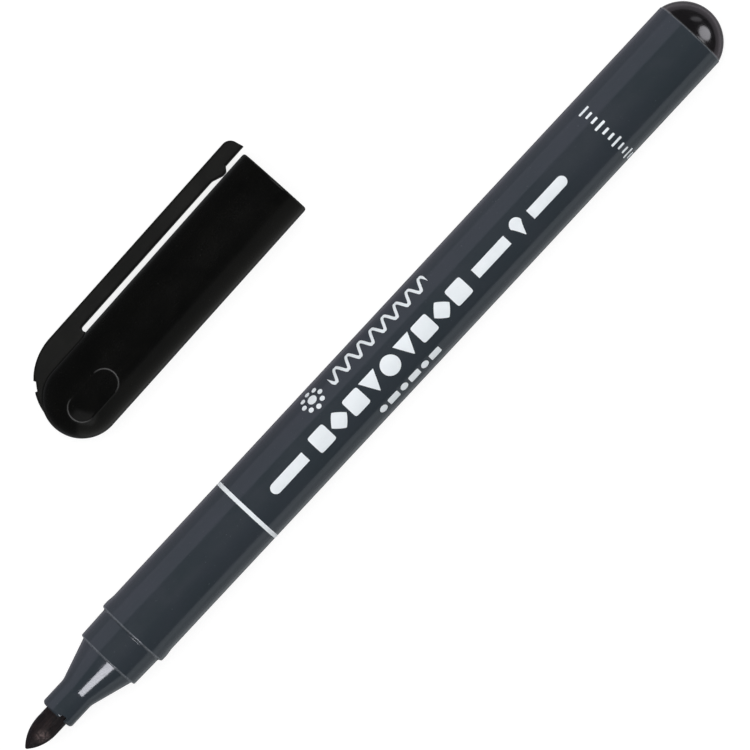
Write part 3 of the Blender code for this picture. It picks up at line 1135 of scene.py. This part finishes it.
@dataclass
class PrintedMarks:
    """White screen print on the barrel: a ring, three bars and rows of plain shapes."""

    barrel: Barrel
    lift: float = 0.014 * MM
    sink: float = 0.020 * MM
    ring_station: float = 40.62 * MM
    ring_width: float = 0.56 * MM
    row_around: float = 0.79 * MM
    bar_height: float = 1.50 * MM
    block_height: float = 2.70 * MM
    upper_around: float = -3.78 * MM
    lower_around: float = 4.42 * MM
    wave_span: tuple[float, float] = (59.3 * MM, 76.9 * MM)
    drop_station: float = 89.45 * MM
    rosette_station: float = 56.2 * MM
    dots_station: float = 61.5 * MM
    ticks_station: float = 105.55 * MM
    columns: int = 44
    rows: int = 12

    def edges(self, motif: Motif, share: Array, length: float, height: float) -> tuple:
        """A motif's lower and upper edge over its length.

        Block, disc and lozenge are superellipses, half height times (1 - |x|^n)^(1/n). A bar's
        round end is half a circle. A wedge and a drop rise to a point in the middle.

        Args:
            motif: Which shape it is.
            share: Places along the shape, from 0 to 1.
            length: The shape's length.
            height: The shape's height.

        Returns:
            The lower and the upper edge.
        """
        middle = 2 * share - 1
        half = height / 2
        powers = {Motif.BLOCK: 9.0, Motif.DISC: 2.0, Motif.LOZENGE: 1.12}
        if motif in powers:
            power = powers[motif]
            edge = half * np.clip(1 - np.abs(middle) ** power, 0, 1) ** (1 / power)
            return -edge, edge
        if motif is Motif.WEDGE:
            edge = np.clip(1 - np.abs(middle), 0, 1)
            return np.full_like(edge, -half), half * (2 * edge - 1)
        if motif is Motif.DROP:
            belly = np.sqrt(np.clip(1 - middle ** 2, 0, 1))
            point = np.clip(1 - np.abs(middle), 0, 1) ** 1.25
            return -half * (0.35 + 0.65 * belly), half * (-0.35 + 1.35 * point)
        reach = share * length
        from_front = reach if motif is Motif.BAR_ROUND_FRONT else np.full_like(reach, half)
        from_rear = length - reach if motif is Motif.BAR_ROUND_REAR else np.full_like(reach, half)
        near = np.clip(np.minimum(from_front, from_rear), 0, half)
        edge = np.sqrt(np.clip(half ** 2 - (half - near) ** 2, 0, None))
        return -edge, edge

    def film(self, name: str, station: Array, low: Array, high: Array) -> bpy.types.Object:
        """Lay a thin film of ink between two edges on the barrel.

        Each section runs over the film's top and back under it, so the film is one closed skin.

        Args:
            name: The new object's name.
            station: The sections' stations.
            low: Each section's lower edge, round the barrel.
            high: Each section's upper edge.

        Returns:
            The film.
        """
        share = np.linspace(0.0, 1.0, self.rows)
        over = low[:, None] + (high - low)[:, None] * share
        along = np.broadcast_to(station[:, None], over.shape)
        top = self.barrel.on_surface(along, over, self.lift)
        base = self.barrel.on_surface(along, over[:, ::-1], -self.sink)
        return loft(name, np.concatenate([top, base], 1))

    def mark(self, name: str, mark: Mark) -> bpy.types.Object:
        """Print one shape, with its sections closest together near its two ends.

        Args:
            name: The new object's name.
            mark: The shape, with its size and place.

        Returns:
            The film.
        """
        share = (1 - np.cos(np.linspace(0.0, math.pi, self.columns))) / 2
        low, high = self.edges(mark.motif, share, mark.length, mark.height)
        station = mark.station + (share - 0.5) * mark.length
        return self.film(name, station, mark.around + low, mark.around + high)

    def ring(self) -> bpy.types.Object:
        """The thin white ring right round the barrel.

        Returns:
            The ring.
        """
        half = self.ring_width / 2
        stations = self.ring_station + np.array([-half, half, half, -half])
        radius = self.barrel.radius_at(stations)
        lift = np.array([self.lift, self.lift, -self.sink, -self.sink])
        outline = np.stack([stations, radius + lift], 1)
        return revolve("printed_ring", self.barrel.placement, outline, True, 288)

    def wave(self) -> bpy.types.Object:
        """A thin wavy stroke: a sine wave whose width is even across the stroke.

        Returns:
            The film.
        """
        start, end = self.wave_span
        humps, swing, width = 8, 0.88 * MM, 0.44 * MM
        station = np.linspace(start, end, 420)
        phase = (station - start) / (end - start) * humps * math.tau
        slope = swing * np.cos(phase) * humps * math.tau / (end - start)
        middle = self.upper_around + swing * np.sin(phase)
        half = width / 2 * np.minimum(np.sqrt(1 + slope ** 2), 2.6)
        return self.film("printed_wave", station, middle - half, middle + half)

    def bars(self) -> list[Mark]:
        """The three bars of the middle row.

        Returns:
            The marks.
        """
        row, tall = self.row_around, self.bar_height
        return [
            Mark(Motif.BAR_ROUND_FRONT, 47.44 * MM, row, 6.15 * MM, tall),
            Mark(Motif.BAR, 84.40 * MM, row, 5.85 * MM, tall),
            Mark(Motif.BAR_ROUND_REAR, 94.75 * MM, row, 6.40 * MM, tall),
        ]

    def blocks(self) -> list[Mark]:
        """The nine bold shapes of the middle row, and the drop between the two upper bars.

        Returns:
            The marks.
        """
        motifs = (Motif.BLOCK, Motif.LOZENGE, Motif.BLOCK, Motif.WEDGE, Motif.DISC,
                  Motif.WEDGE, Motif.BLOCK, Motif.LOZENGE, Motif.BLOCK)
        first, pitch, length = 53.50 * MM, 3.125 * MM, 2.72 * MM
        marks = [Mark(motif, first + pitch * index, self.row_around, length, self.block_height)
                 for index, motif in enumerate(motifs)]
        marks.append(Mark(Motif.DROP, self.drop_station, self.row_around, 1.85 * MM, 2.80 * MM))
        return marks

    def sprinkle(self) -> list[Mark]:
        """Small shapes: a rosette of dots, a row of dots and dashes, and ticks at the rear.

        Returns:
            The marks.
        """
        center, ring = self.rosette_station, 1.42 * MM
        marks = [Mark(Motif.DISC, center, self.upper_around, 1.30 * MM, 1.30 * MM)]
        for index in range(8):
            angle = math.tau * index / 8
            marks.append(Mark(Motif.DISC, center + ring * math.cos(angle),
                              self.upper_around + ring * math.sin(angle), 0.70 * MM, 0.70 * MM))
        for index in range(6):
            length = 1.75 * MM if index % 2 else 1.15 * MM
            motif = Motif.BLOCK if index % 2 else Motif.DISC
            marks.append(Mark(motif, self.dots_station + 1.88 * MM * index, self.lower_around,
                              length, 1.15 * MM))
        for index in range(13):
            length = 1.65 * MM if index % 3 == 0 else 1.05 * MM
            marks.append(Mark(Motif.BLOCK, self.ticks_station, (-3.4 + 0.98 * index) * MM,
                              length, 0.34 * MM))
        return marks

    def build(self) -> bpy.types.Object:
        """Print every mark, and join them into one piece.

        Returns:
            The print.
        """
        films = [self.ring(), self.wave()]
        for index, mark in enumerate(self.bars() + self.blocks() + self.sprinkle()):
            films.append(self.mark(f"printed_mark_{index}", mark))
        piece = join("printed_marks", films)
        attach(piece, "pen")
        return piece

    def dress(self, piece: bpy.types.Object) -> None:
        """Off-white ink."""
        finish = ScreenInk("screen_ink", (0.86, 0.905, 0.94), (0.42, 0.46, 0.50))
        dress(piece, finish.material())


@dataclass
class InkStore:
    """The fibre core and its film sleeve, closed up inside the barrel."""

    def dress(self) -> None:
        """Give the two hidden pieces their own finishes."""
        core = InkedFibre("core_fibre", (0.060, 0.040, 0.060), (0.018, 0.012, 0.020),
                          thread=2600.0)
        dress(frame["nodes"]["ink_reservoir"], core.material())
        film = SoftSeal("core_film", (0.70, 0.70, 0.68), (0.62, 0.62, 0.60), 0.18)
        dress(frame["nodes"]["reservoir_wrap"], film.material())
        for name in ("ink_reservoir", "reservoir_wrap"):
            frame["nodes"][name].visible_glossy = False


# ---------------------------------------------------------------- the cap

@dataclass
class Cap:
    """The black cap: its round-ended shell, the clip on its rib, a pad and the inner seal."""

    placement: Placement
    length: float = 41.4 * MM
    mouth_radius: float = 5.23 * MM
    end_radius: float = 5.11 * MM
    bore: float = 4.68 * MM
    inner_bore: float = 4.50 * MM
    ledge_depth: float = 21.6 * MM
    ledge_radius: float = 4.15 * MM
    seal_mouth: float = 10.3 * MM
    seal_base: float = 21.5 * MM
    clip_width: float = 4.0 * MM
    clip_outer: float = 7.95 * MM
    clip_inner: float = 5.87 * MM
    clip_edge: float = 0.34 * MM
    slot_end: float = 30.0 * MM
    slot_floor: float = 5.135 * MM
    wall_inside: float = 4.80 * MM
    tip_radius: float = 1.30 * MM
    rib_sink: float = 0.08 * MM
    pad_size: tuple[float, float] = (8.0 * MM, 3.85 * MM)
    pad_middle: tuple[float, float] = (-35.05 * MM, -0.95 * MM)
    bend_start: float = 30.6 * MM
    bend_end: float = 25.0 * MM
    catch_front: float = 2.75 * MM
    catch_rear: float = 5.35 * MM
    catch_height: float = 0.55 * MM
    vent_start: float = 35.5 * MM
    vent_inner: float = 3.6 * MM
    vent_outer: float = 4.9 * MM
    vent_width: float = 1.6 * MM
    notch_angle: float = 42.8
    notch_length: float = 1.25 * MM
    notch_depth: float = 0.31 * MM

    def shell_outline(self) -> Array:
        """The shell's outer side, its half-round end, and the bore with its ledge.

        Returns:
            Rows of (station, radius), from the hollow's end to the dome's.
        """
        center = self.end_radius - self.length
        mouth = trace([
            Corner(center, self.ledge_radius),
            Corner(-self.ledge_depth, self.ledge_radius),
            Corner(-self.ledge_depth, self.inner_bore, 0.15 * MM),
            Corner(-self.ledge_depth + 2.0 * MM, self.inner_bore),
            Corner(-3.0 * MM, self.bore),
            Corner(0.0, self.bore, 0.10 * MM),
            Corner(0.0, self.mouth_radius, 0.38 * MM),
            Corner(center, self.end_radius),
        ])
        dome = arc((center, 0.0), self.end_radius, 90, 180, 56)
        hollow = arc((center, 0.0), self.ledge_radius, 180, 90, 32)
        return hold(np.concatenate([hollow[:-1], mouth[:-1], dome]), closed=False)

    def build_shell(self) -> bpy.types.Object:
        """Turn the shell, and cut the air vent through its end.

        Returns:
            The shell.
        """
        piece = revolve("cap_body", self.placement, self.shell_outline(), False, 240)
        self.cut_vent(piece)
        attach(piece, "cap")
        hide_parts("cap_shell")
        return piece

    def cut_vent(self, piece: bpy.types.Object) -> None:
        """Cut the air vent, a square channel under the notch, out of a piece.

        Args:
            piece: The piece that the channel runs through.
        """
        run = self.length - self.vent_start
        middle = (self.vent_inner + self.vent_outer) / 2
        carve(piece, self.placement, (-self.vent_start - run / 2, middle, 0.0),
              (run, self.vent_outer - self.vent_inner, self.vent_width))

    def tip_sides(self) -> tuple[Array, Array]:
        """The clip's free end: its inner and outer points, the outer ones round an arc.

        Returns:
            The inner points and the outer points.
        """
        low, high = self.clip_inner, self.clip_outer
        turn = arc((-0.95 * MM, high - self.tip_radius), self.tip_radius, 12, 90, 12)
        lead = np.linspace(0.0, 1.0, 5)[:-1, None]
        front = (0.54 * MM, low + 0.06 * MM)
        outer = np.concatenate([(1 - lead) * front + lead * turn[:1], turn])
        back = np.linspace(0.56, -0.95, len(outer)) * MM
        return np.stack([back, np.full_like(back, low)], 1), outer

    def arm_sides(self) -> tuple[Array, Array]:
        """The clip's length: inner points with the catch on them, and straight outer ones.

        Returns:
            The inner points and the outer points.
        """
        low, front, peak = self.clip_inner, self.catch_front, self.clip_inner - self.catch_height
        catch = hold(trace([
            Corner(-1.2 * MM, low),
            Corner(-front, low, 0.15 * MM),
            Corner(-front - 0.5 * MM, peak, 0.25 * MM),
            Corner(-front - 1.1 * MM, peak - 0.03 * MM, 0.35 * MM),
            Corner(-self.catch_rear, low, 1.0 * MM),
            Corner(-7.5 * MM, low),
        ]), closed=False)
        straight = np.linspace(-8.5, -29.2, 24) * MM
        inner = np.concatenate([catch, np.stack([straight, np.full_like(straight, low)], 1)])
        return inner, np.stack([inner[:, 0], np.full(len(inner), self.clip_outer)], 1)

    def slot_sides(self) -> tuple[Array, Array]:
        """The slot's closed end: inner points round a half circle, then in through the wall.

        The outer points fall back as share^1.6, so that no two sections cross.

        Returns:
            The inner points and the outer points.
        """
        half = (self.clip_inner - self.slot_floor) / 2
        center = half - self.slot_end
        turn = arc((center, self.slot_floor + half), half, 90, 220, 16)
        back = center - 2.6 * MM * np.linspace(0.0, 1.0, len(turn)) ** 1.6
        inner = np.array([(center - 0.29 * MM, self.slot_floor - 0.12 * MM),
                          (center - 0.90 * MM, self.wall_inside),
                          (center - 2.20 * MM, self.wall_inside)])
        back = np.concatenate([back, center - np.array([2.7, 2.9, 3.2]) * MM])
        return (np.concatenate([turn, inner]),
                np.stack([back, np.full_like(back, self.clip_outer)], 1))

    def rib_sides(self) -> tuple[Array, Array, Array]:
        """The rib round the closed end, section by section from the clip to the axis.

        At an angle a from the axis, the outer points lie on a circle about the rib's centre,
        less the notch, and the inner ones lie inside the shell's wall on the same ray.

        Returns:
            The inner points, the outer points and how much each section's back is crowned.
        """
        rib_center = self.clip_outer - self.length
        between = rib_center - (self.end_radius - self.length)
        spread = math.degrees(self.notch_length / 2 / self.clip_outer)
        slope = math.degrees(0.10 * MM / self.clip_outer)
        edges = np.array([-spread - slope, -spread, spread, spread + slope]) + self.notch_angle
        degrees = np.unique(np.concatenate([np.linspace(0.0, 90.0, 121), edges]))[::-1]
        angle = np.radians(degrees)
        on_dome = between * np.cos(angle) + np.sqrt(
            self.wall_inside ** 2 - (between * np.sin(angle)) ** 2)
        inner_reach = np.where(between * np.tan(angle) > self.wall_inside,
                               self.wall_inside / np.maximum(np.sin(angle), 0.1), on_dome)
        notch = np.interp(degrees, edges, (0.0, self.notch_depth, self.notch_depth, 0.0),
                          left=0.0, right=0.0)
        sunk = self.rib_sink * (1 - smooth_step(degrees, 0.0, 14.0))
        outer_reach = self.clip_outer - notch - sunk
        rays = np.stack([-np.cos(angle), np.sin(angle)], 1)
        crown = (1 - smooth_step(degrees, 4.0, 62.0)) / (2 * self.end_radius)
        return ((rib_center, 0.0) + rays * inner_reach[:, None],
                (rib_center, 0.0) + rays * outer_reach[:, None], crown)

    def clip_sides(self) -> tuple[Array, Array, Array]:
        """Follow the clip from its tip to the slot's end, and the rib round the closed end.

        Each section runs straight from an inner point to an outer one.

        Returns:
            The inner points, the outer points and how much each section's back is crowned.
        """
        runs = [self.tip_sides(), self.arm_sides(), self.slot_sides()]
        rib_inner, rib_outer, crown = self.rib_sides()
        inner = np.concatenate([run[0] for run in runs] + [rib_inner])
        outer = np.concatenate([run[1] for run in runs] + [rib_outer])
        return inner, outer, np.concatenate([np.zeros(len(inner) - len(crown)), crown])

    def section(self, steps: int = 7) -> tuple[Array, Array, Array, Array]:
        """A rounded rectangle, as shares of its depth and width plus shares of its rounding.

        Args:
            steps: How many points each corner has.

        Returns:
            Depth shares, rounding shares along the depth, width sides and rounding shares
            across the width, for the points of one section in order.
        """
        turn = np.linspace(0.0, math.pi / 2, steps)
        near, far = 1 - np.cos(turn), 1 - np.sin(turn)
        depth = np.repeat([1.0, 1.0, 0.0, 0.0], steps)
        into = np.concatenate([-far, -near, far, near])
        side = np.repeat([-1.0, 1.0, 1.0, -1.0], steps)
        inward = np.concatenate([near, -far, -near, far])
        return depth, into, side, inward

    def build_clip(self) -> bpy.types.Object:
        """Loft the clip and its rib as one skin, and cut the vent through it.

        Returns:
            The clip with its rib.
        """
        inner, outer, crown = self.clip_sides()
        span = outer - inner
        thick = np.linalg.norm(span, axis=1, keepdims=True)
        direction = span / thick
        depth, into, side, inward = self.section()
        edge = np.minimum(self.clip_edge, thick * 0.48)
        over = self.clip_width / 2 * side + edge * inward
        rise = thick * depth + edge * into - crown[:, None] * depth * over ** 2
        flat = inner[:, None, :] + direction[:, None, :] * rise[..., None]
        piece = loft("cap_clip", self.placement.place(flat[..., 0], flat[..., 1], over))
        self.cut_vent(piece)
        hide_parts("clip_arm")
        middle = (self.clip_inner + self.clip_outer) / 2
        ends = [tuple(self.placement.place(-depth_in, middle, 0.0))
                for depth_in in (self.bend_start, self.bend_end)]
        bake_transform(piece)
        return piece

    def build_pad(self, ends: int = 61, sides: int = 24) -> bpy.types.Object:
        """The faint oblong pad near the closed end, with a thin raised rim whose two ends get a painted highlight.

        Seen from above, a point is an anchor on the pad's middle line plus a reach at an angle.
        The rim's height over its width x, from -1 to 1, is (1 - x^2)^2.

        Args:
            ends: How many points there are round each end.
            sides: How many there are along each side.

        Returns:
            The pad.
        """
        length, width = self.pad_size
        middle, beside = self.pad_middle
        lift, sink, ridge, rim = 0.020 * MM, 0.08 * MM, 0.10 * MM, 0.27 * MM
        half, straight = width / 2, (length - width) / 2
        run = np.linspace(-1.0, 1.0, sides + 2)[1:-1] * straight
        turn = np.radians(np.linspace(-90.0, 90.0, ends))
        anchor = np.concatenate([np.full(ends, straight), -run, np.full(ends, -straight), run])
        angle = np.concatenate([turn, np.full(sides, math.pi / 2), turn + math.pi,
                                np.full(sides, -math.pi / 2)])
        inward = np.concatenate([np.linspace(0.0, 1.0, 13) * rim, np.linspace(0.42 * MM, half, 8)])
        inward = np.concatenate([inward[::-1], inward])
        over = np.arange(len(inward)) >= len(inward) // 2
        profile = np.clip(1 - (2 * inward / rim - 1) ** 2, 0, 1) ** 2 * over
        swell = np.where(over, lift * np.minimum(inward / (0.04 * MM), 1), -sink)
        reach = half - inward
        along = middle + anchor[:, None] + reach * np.cos(angle)[:, None]
        across = beside + reach * np.sin(angle)[:, None]
        points = self.over_shell(along, across, swell + ridge * profile)
        # Painted highlight: the rim is marked lighter towards its two ends along the cap.
        painted_rim_highlight = profile * np.abs(np.cos(angle))[:, None] ** 0.8
        piece = skin("cap_pad", points, True, False, painted_rim_highlight)
        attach(piece, "cap")
        return piece

    def over_shell(self, along: Array, across: Array, lift: Array) -> Array:
        """Drop points seen from above onto the shell.

        The height is the square root of the shell's radius squared less the distances beside the
        axis and past the dome's centre squared.

        Args:
            along: Distances along the cap.
            across: Distances beside its axis.
            lift: How far over the shell the points lie.

        Returns:
            The points.
        """
        center = self.end_radius - self.length
        past = np.minimum(along - center, 0.0)
        taper = (self.end_radius - self.mouth_radius) / center
        radius = self.mouth_radius + taper * np.maximum(along, center)
        height = np.sqrt((radius + lift) ** 2 - past ** 2 - across ** 2)
        return self.placement.place(along, across, height)

    def build_seal(self) -> bpy.types.Object:
        """The cup inside the cap, with its flange notched for air.

        Returns:
            The seal.
        """
        mouth, base, bore, outside = self.seal_mouth, self.seal_base, 2.50 * MM, 3.05 * MM
        flange, thick = 4.40 * MM, 0.8 * MM
        outline = trace([
            Corner(-base, 0.0), Corner(-base, flange, 0.12 * MM),
            Corner(-base + thick, flange, 0.12 * MM), Corner(-base + thick, outside, 0.15 * MM),
            Corner(-mouth, outside, 0.25 * MM), Corner(-mouth, bore, 0.22 * MM),
            Corner(-base + 0.7 * MM, bore, 0.4 * MM), Corner(-base + 0.7 * MM, 0.0)])

        def notches(station: Array, radius: Array, angle: Array
                    ) -> tuple[Array, Array]:
            """Pull the flange in at four places round it.

            Args:
                station: The surface's stations.
                radius: Its radii.
                angle: Its angles.

            Returns:
                The same stations, and the new radii.
            """
            off = (angle % (math.pi / 2)) - math.pi / 4
            cut = 1 - smooth_step(np.abs(off) * flange, 0.62 * MM, 0.78 * MM)
            return station, np.where(radius > outside + 0.2 * MM,
                                     np.minimum(radius, flange - 0.95 * MM * cut), radius)

        piece = revolve("inner_seal_cup", self.placement, hold(outline, False), False, 192,
                        notches)
        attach(piece, "cap")
        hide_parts("cap_inner_seal")
        return piece

    def build(self) -> list[bpy.types.Object]:
        """Make the cap's pieces and dress them.

        Returns:
            The shell, the clip, the pad and the seal.
        """
        turn = -math.atan2(self.placement.along[1], self.placement.along[0])
        # Painted highlight: a lighter line round the mouth's rim.
        black = MouldedPlastic(
            "cap_black_plastic", (0.0022, 0.0023, 0.0022), (0.0036, 0.0036, 0.0032),
            (0.045, 0.045, 0.043), 0.24, 0.30, turn=turn, painted_edge_highlight_stations=(0.0,),
            origin=tuple(self.placement.origin), ripple=0.006 * MM)
        shell, clip, pad = self.build_shell(), self.build_clip(), self.build_pad()
        dress(shell, black.material())
        # Painted highlight: the pad's marked rim ends are mixed towards a light grey.
        dress(pad, replace(black, name="pad_black_plastic", painted_edge_highlight_stations=(), reads_painted_rim_highlight=True,
                           edge=(0.11, 0.11, 0.11)).material())
        # Painted sheen: the clip is a lighter copy of the cap's black, standing in for light on its top.
        dress(clip, replace(black, name="clip_black_painted_sheen", color=(0.0072, 0.0073, 0.0070),
                            tint=(0.0098, 0.0098, 0.0090), roughness=0.38,
                            painted_edge_highlight_stations=()).material())
        seal = self.build_seal()
        dress(seal, SoftSeal("seal_plastic", (0.62, 0.62, 0.58), (0.54, 0.54, 0.49),
                             0.42).material())
        return [shell, clip, pad, seal]


# ---------------------------------------------------------------- the studio

class Seen(Enum):
    """How a light acts: only in reflections, or only as even light."""

    GLOSS = "gloss"
    DIFFUSE = "diffuse"


@dataclass(frozen=True)
class Softbox:
    """A flat light that faces the object."""

    name: str
    toward: tuple[float, float, float]
    distance: float
    size: tuple[float, float]
    radiance: float
    tone: Color = (1.0, 1.0, 1.0)
    long_side: tuple[float, float, float] = (1.0, 0.0, 0.0)
    shape: str = "RECTANGLE"
    seen: Seen = Seen.GLOSS
    target: tuple[float, float, float] = (0.0, 0.0, 0.0)

    def build(self, receivers: Optional[bpy.types.Collection] = None) -> bpy.types.Object:
        """Make the light, with its power from its radiance times pi times its area.

        Args:
            receivers: The pieces that it lights and that shade it, or None for everything.

        Returns:
            The light.
        """
        lamp = bpy.data.lights.new(self.name, "AREA")
        lamp.shape = self.shape
        lamp.size, lamp.size_y = self.size
        lamp.color = self.tone
        lamp.energy = self.radiance * math.pi * self.size[0] * self.size[1]
        light = bpy.data.objects.new(self.name, lamp)
        bpy.context.scene.collection.objects.link(light)
        out = Vector(self.toward).normalized()
        side = Vector(self.long_side)
        side = (side - out * side.dot(out)).normalized()
        turn = Matrix((side, out.cross(side), out)).transposed().to_4x4()
        turn.translation = Vector(self.target) + out * self.distance
        light.matrix_world = turn
        light.visible_diffuse = self.seen is Seen.DIFFUSE
        light.visible_glossy = self.seen is Seen.GLOSS
        light.visible_camera = False
        if receivers is not None:
            light.light_linking.receiver_collection = receivers
            light.light_linking.blocker_collection = receivers
        return light


def group(name: str, pieces: Sequence[bpy.types.Object]) -> bpy.types.Collection:
    """Gather pieces so that a light can be kept to them.

    Args:
        name: The collection's name.
        pieces: What goes into it.

    Returns:
        The collection, which is not in the scene.
    """
    gathered = bpy.data.collections.new(name)
    for piece in pieces:
        gathered.objects.link(piece)
    return gathered


@dataclass
class Studio:
    """A pale floor, soft lights, a dim room and the camera over the middle of the pen."""

    pen: Placement
    pen_pieces: Sequence[bpy.types.Object]
    cap_pieces: Sequence[bpy.types.Object]
    turn: float = math.radians(47.05)
    frame_width: float = 93.75 * MM
    camera_height: float = 1.0
    sensor: float = 36.0
    middle_station: float = 63.8 * MM
    middle_beside: float = -0.2 * MM
    dome_station: float = 120.4 * MM
    floor_reach: float = 3.0
    floor_sweep: float = 0.8
    wall_height: float = 3.5
    floor_glow: float = 0.84
    floor_tone: float = 0.26
    panel_distance: float = 0.5
    panel_length: float = 1.6

    def camera(self) -> None:
        """Look straight down, turned so that the pen runs up to the right."""
        data = bpy.data.cameras.new("camera")
        data.sensor_width = self.sensor
        data.lens = self.sensor * self.camera_height / self.frame_width
        camera = bpy.data.objects.new("camera", data)
        bpy.context.scene.collection.objects.link(camera)
        camera.location = self.pen.place(self.middle_station, self.middle_beside,
                                         self.camera_height)
        camera.rotation_euler = (0.0, 0.0, -self.turn)
        bpy.context.scene.camera = camera

    def floor(self) -> None:
        """A wide pale floor that glows, as a light table does, with a wall round it."""
        shader = Shader("floor_white")
        shader.fixed(Roughness=0.9, Emission_Strength=self.floor_glow, Specular_IOR_Level=0.0)
        shader.surface.inputs["Base Color"].default_value = (*(self.floor_tone,) * 3, 1.0)
        shader.surface.inputs["Emission Color"].default_value = (1.0, 1.0, 1.0, 1.0)
        ground = Placement(np.array([0.0, 0.0, -0.02 * MM]), np.array([0.0, 0.0, 1.0]),
                           np.array([1.0, 0.0, 0.0]), np.array([0.0, 1.0, 0.0]))
        reach, sweep = self.floor_reach, self.floor_sweep
        floor = revolve("floor", ground, np.array([(0.0, 0.0), (0.0, reach)]), False)
        curve = arc((sweep, reach - sweep), sweep, 180, 90, 24)
        curve[:, 0] += 0.01 * MM
        top = [(self.wall_height, reach)]
        wall = revolve("wall", ground, np.concatenate([curve, top]), False)
        wall.visible_diffuse = False
        for part in (floor, wall):
            part.visible_glossy = False
            part.visible_shadow = False
            dress(part, shader.material)

    def panel(self, name: str, side: float, low: float, high: float, radiance: float,
              tone: Color) -> Softbox:
        """A tall panel beside the pen, between two angles over the floor's level.

        Args:
            name: The light's name.
            side: 1 for the cap's side of the pen, -1 for the other.
            low: The angle of its lower edge, in degrees.
            high: The angle of its upper edge.
            radiance: Its radiance.
            tone: Its colour.

        Returns:
            The panel.
        """
        edges = [self.panel_distance * math.tan(math.radians(angle)) for angle in (low, high)]
        center = Vector(self.pen.origin) + Vector((self.middle_station, 0.0, sum(edges) / 2))
        return Softbox(name, (0.0, side, 0.0), self.panel_distance,
                       (self.panel_length, edges[1] - edges[0]), radiance, tone,
                       target=tuple(center))

    def lights(self) -> None:
        """An even overhead light, panels beside the pen, and boxes past the two ends."""
        plug = [piece for piece in self.pen_pieces if piece.name == "domed_end_plug"]
        shaft = [piece for piece in self.pen_pieces if piece not in plug]
        pen, dome = group("lit_pen", shaft), group("lit_plug", plug)
        cap = group("lit_cap", self.cap_pieces)
        shafts = group("lit_shafts", [*shaft, *self.cap_pieces])
        middle, end = self.spot(self.middle_station), self.spot(self.dome_station)
        violet, sky, mauve = (0.86, 0.82, 1.0), (0.88, 0.95, 1.0), (0.98, 0.90, 1.0)
        cream, frost = (1.0, 1.0, 0.94), (0.95, 0.94, 1.0)
        sideways = (0.0, 1.0, 0.0)
        Softbox("overhead", (0.0, 0.12, 1.0), 1.1, (1.3, 1.3), 3.0, seen=Seen.DIFFUSE,
                target=middle).build()
        for name, side, low, high, radiance, tone, lit in (
                ("cap_side_panel", 1.0, 1.0, 52.0, 0.58, violet, pen),
                ("cap_side_skirt", 1.0, -68.0, 1.0, 0.30, violet, pen),
                ("far_side_panel", -1.0, -14.0, 5.5, 0.56, sky, pen),
                ("far_side_skirt", -1.0, -68.0, -14.0, 0.38, sky, pen),
                ("cap_edge_panel", -1.0, -60.0, 29.0, 0.17, cream, cap)):
            self.panel(name, side, low, high, radiance, tone).build(lit)
        Softbox("cone_strip", (-0.562, -0.340, 0.754), 0.6, (0.31, 0.15), 14.0,
                (0.93, 0.93, 1.0), (0.059, -0.925, -0.376),
                target=self.spot(12.0 * MM)).build(pen)
        below_end = tuple(Vector(end) - Vector((0.0, 0.0, 0.35)))
        for index, azimuth in enumerate((-60.0, 0.0, 60.0)):
            out, beside = math.cos(math.radians(azimuth)), math.sin(math.radians(azimuth))
            Softbox(f"plug_skirt_{index}", (out, beside, 0.0), 0.5, (0.577, 0.45), 0.40, mauve,
                    (-beside, out, 0.0), target=below_end).build(dome)
        Softbox("plug_under", (0.0, 0.0, -1.0), 0.6, (1.6, 1.6), 0.15, mauve,
                target=end).build(dome)
        Softbox("plug_disc", (0.820, -0.400, 0.370), 0.6, (0.37, 0.40), 4.4, frost,
                shape="ELLIPSE", target=end).build(dome)
        Softbox("plug_streak", (0.950, 0.222, 0.217), 0.6, (0.30, 0.15), 0.8, frost,
                shape="ELLIPSE", target=end).build(dome)
        Softbox("plug_end_box", (0.69, -0.10, 0.72), 0.7, (0.50, 0.34), 1.8,
                long_side=sideways, target=middle).build(shafts)
        Softbox("cap_end_box", (-0.60, -0.64, 0.48), 0.7, (0.80, 0.50), 0.38,
                long_side=sideways, target=middle).build(cap)

    def spot(self, station: float) -> tuple[float, float, float]:
        """The point on the pen's axis at a station."""
        return tuple(self.pen.origin + station * self.pen.along)

    def room(self) -> None:
        """A dim room, lighter from below, as if over a pale table."""
        world = bpy.data.worlds.new("room")
        world.use_nodes = True
        nodes, links = world.node_tree.nodes, world.node_tree.links
        position = nodes.new("ShaderNodeTexCoord")
        split = nodes.new("ShaderNodeSeparateXYZ")
        slope = nodes.new("ShaderNodeMapRange")
        links.new(position.outputs["Generated"], split.inputs[0])
        links.new(split.outputs["Z"], slope.inputs["Value"])
        for key, value in {"From Min": -0.75, "From Max": -0.65, "To Min": 0.11,
                           "To Max": 0.05}.items():
            slope.inputs[key].default_value = value
        ground = nodes["Background"]
        ground.inputs["Color"].default_value = (0.95, 0.97, 1.0, 1.0)
        links.new(slope.outputs["Result"], ground.inputs["Strength"])
        world.cycles.sampling_method = "NONE"
        bpy.context.scene.world = world
        bpy.context.scene.view_settings.view_transform = "Standard"

    def build(self) -> None:
        """Set the floor, the lights, the room and the camera."""
        self.floor()
        self.lights()
        self.room()
        self.camera()


def main() -> None:
    """Build each sub-assembly round the frame, and log each piece."""
    logging.basicConfig(level=logging.INFO, format="%(name)s: %(message)s")
    pen, cap = pen_placement(), cap_placement()
    made = []
    barrel = Barrel(pen)
    for maker in (barrel, Nib(pen), EndPlug(pen), PrintedMarks(barrel)):
        piece = maker.build()
        maker.dress(piece)
        made.append(piece)
    InkStore().dress()
    cap_pieces = Cap(cap).build()
    for piece in made + cap_pieces:
        piece.visible_glossy = False
        log.info("%s: %d faces", piece.name, len(piece.data.polygons))
    Studio(pen, made, cap_pieces).build()


if __name__ == "__main__":
    main()
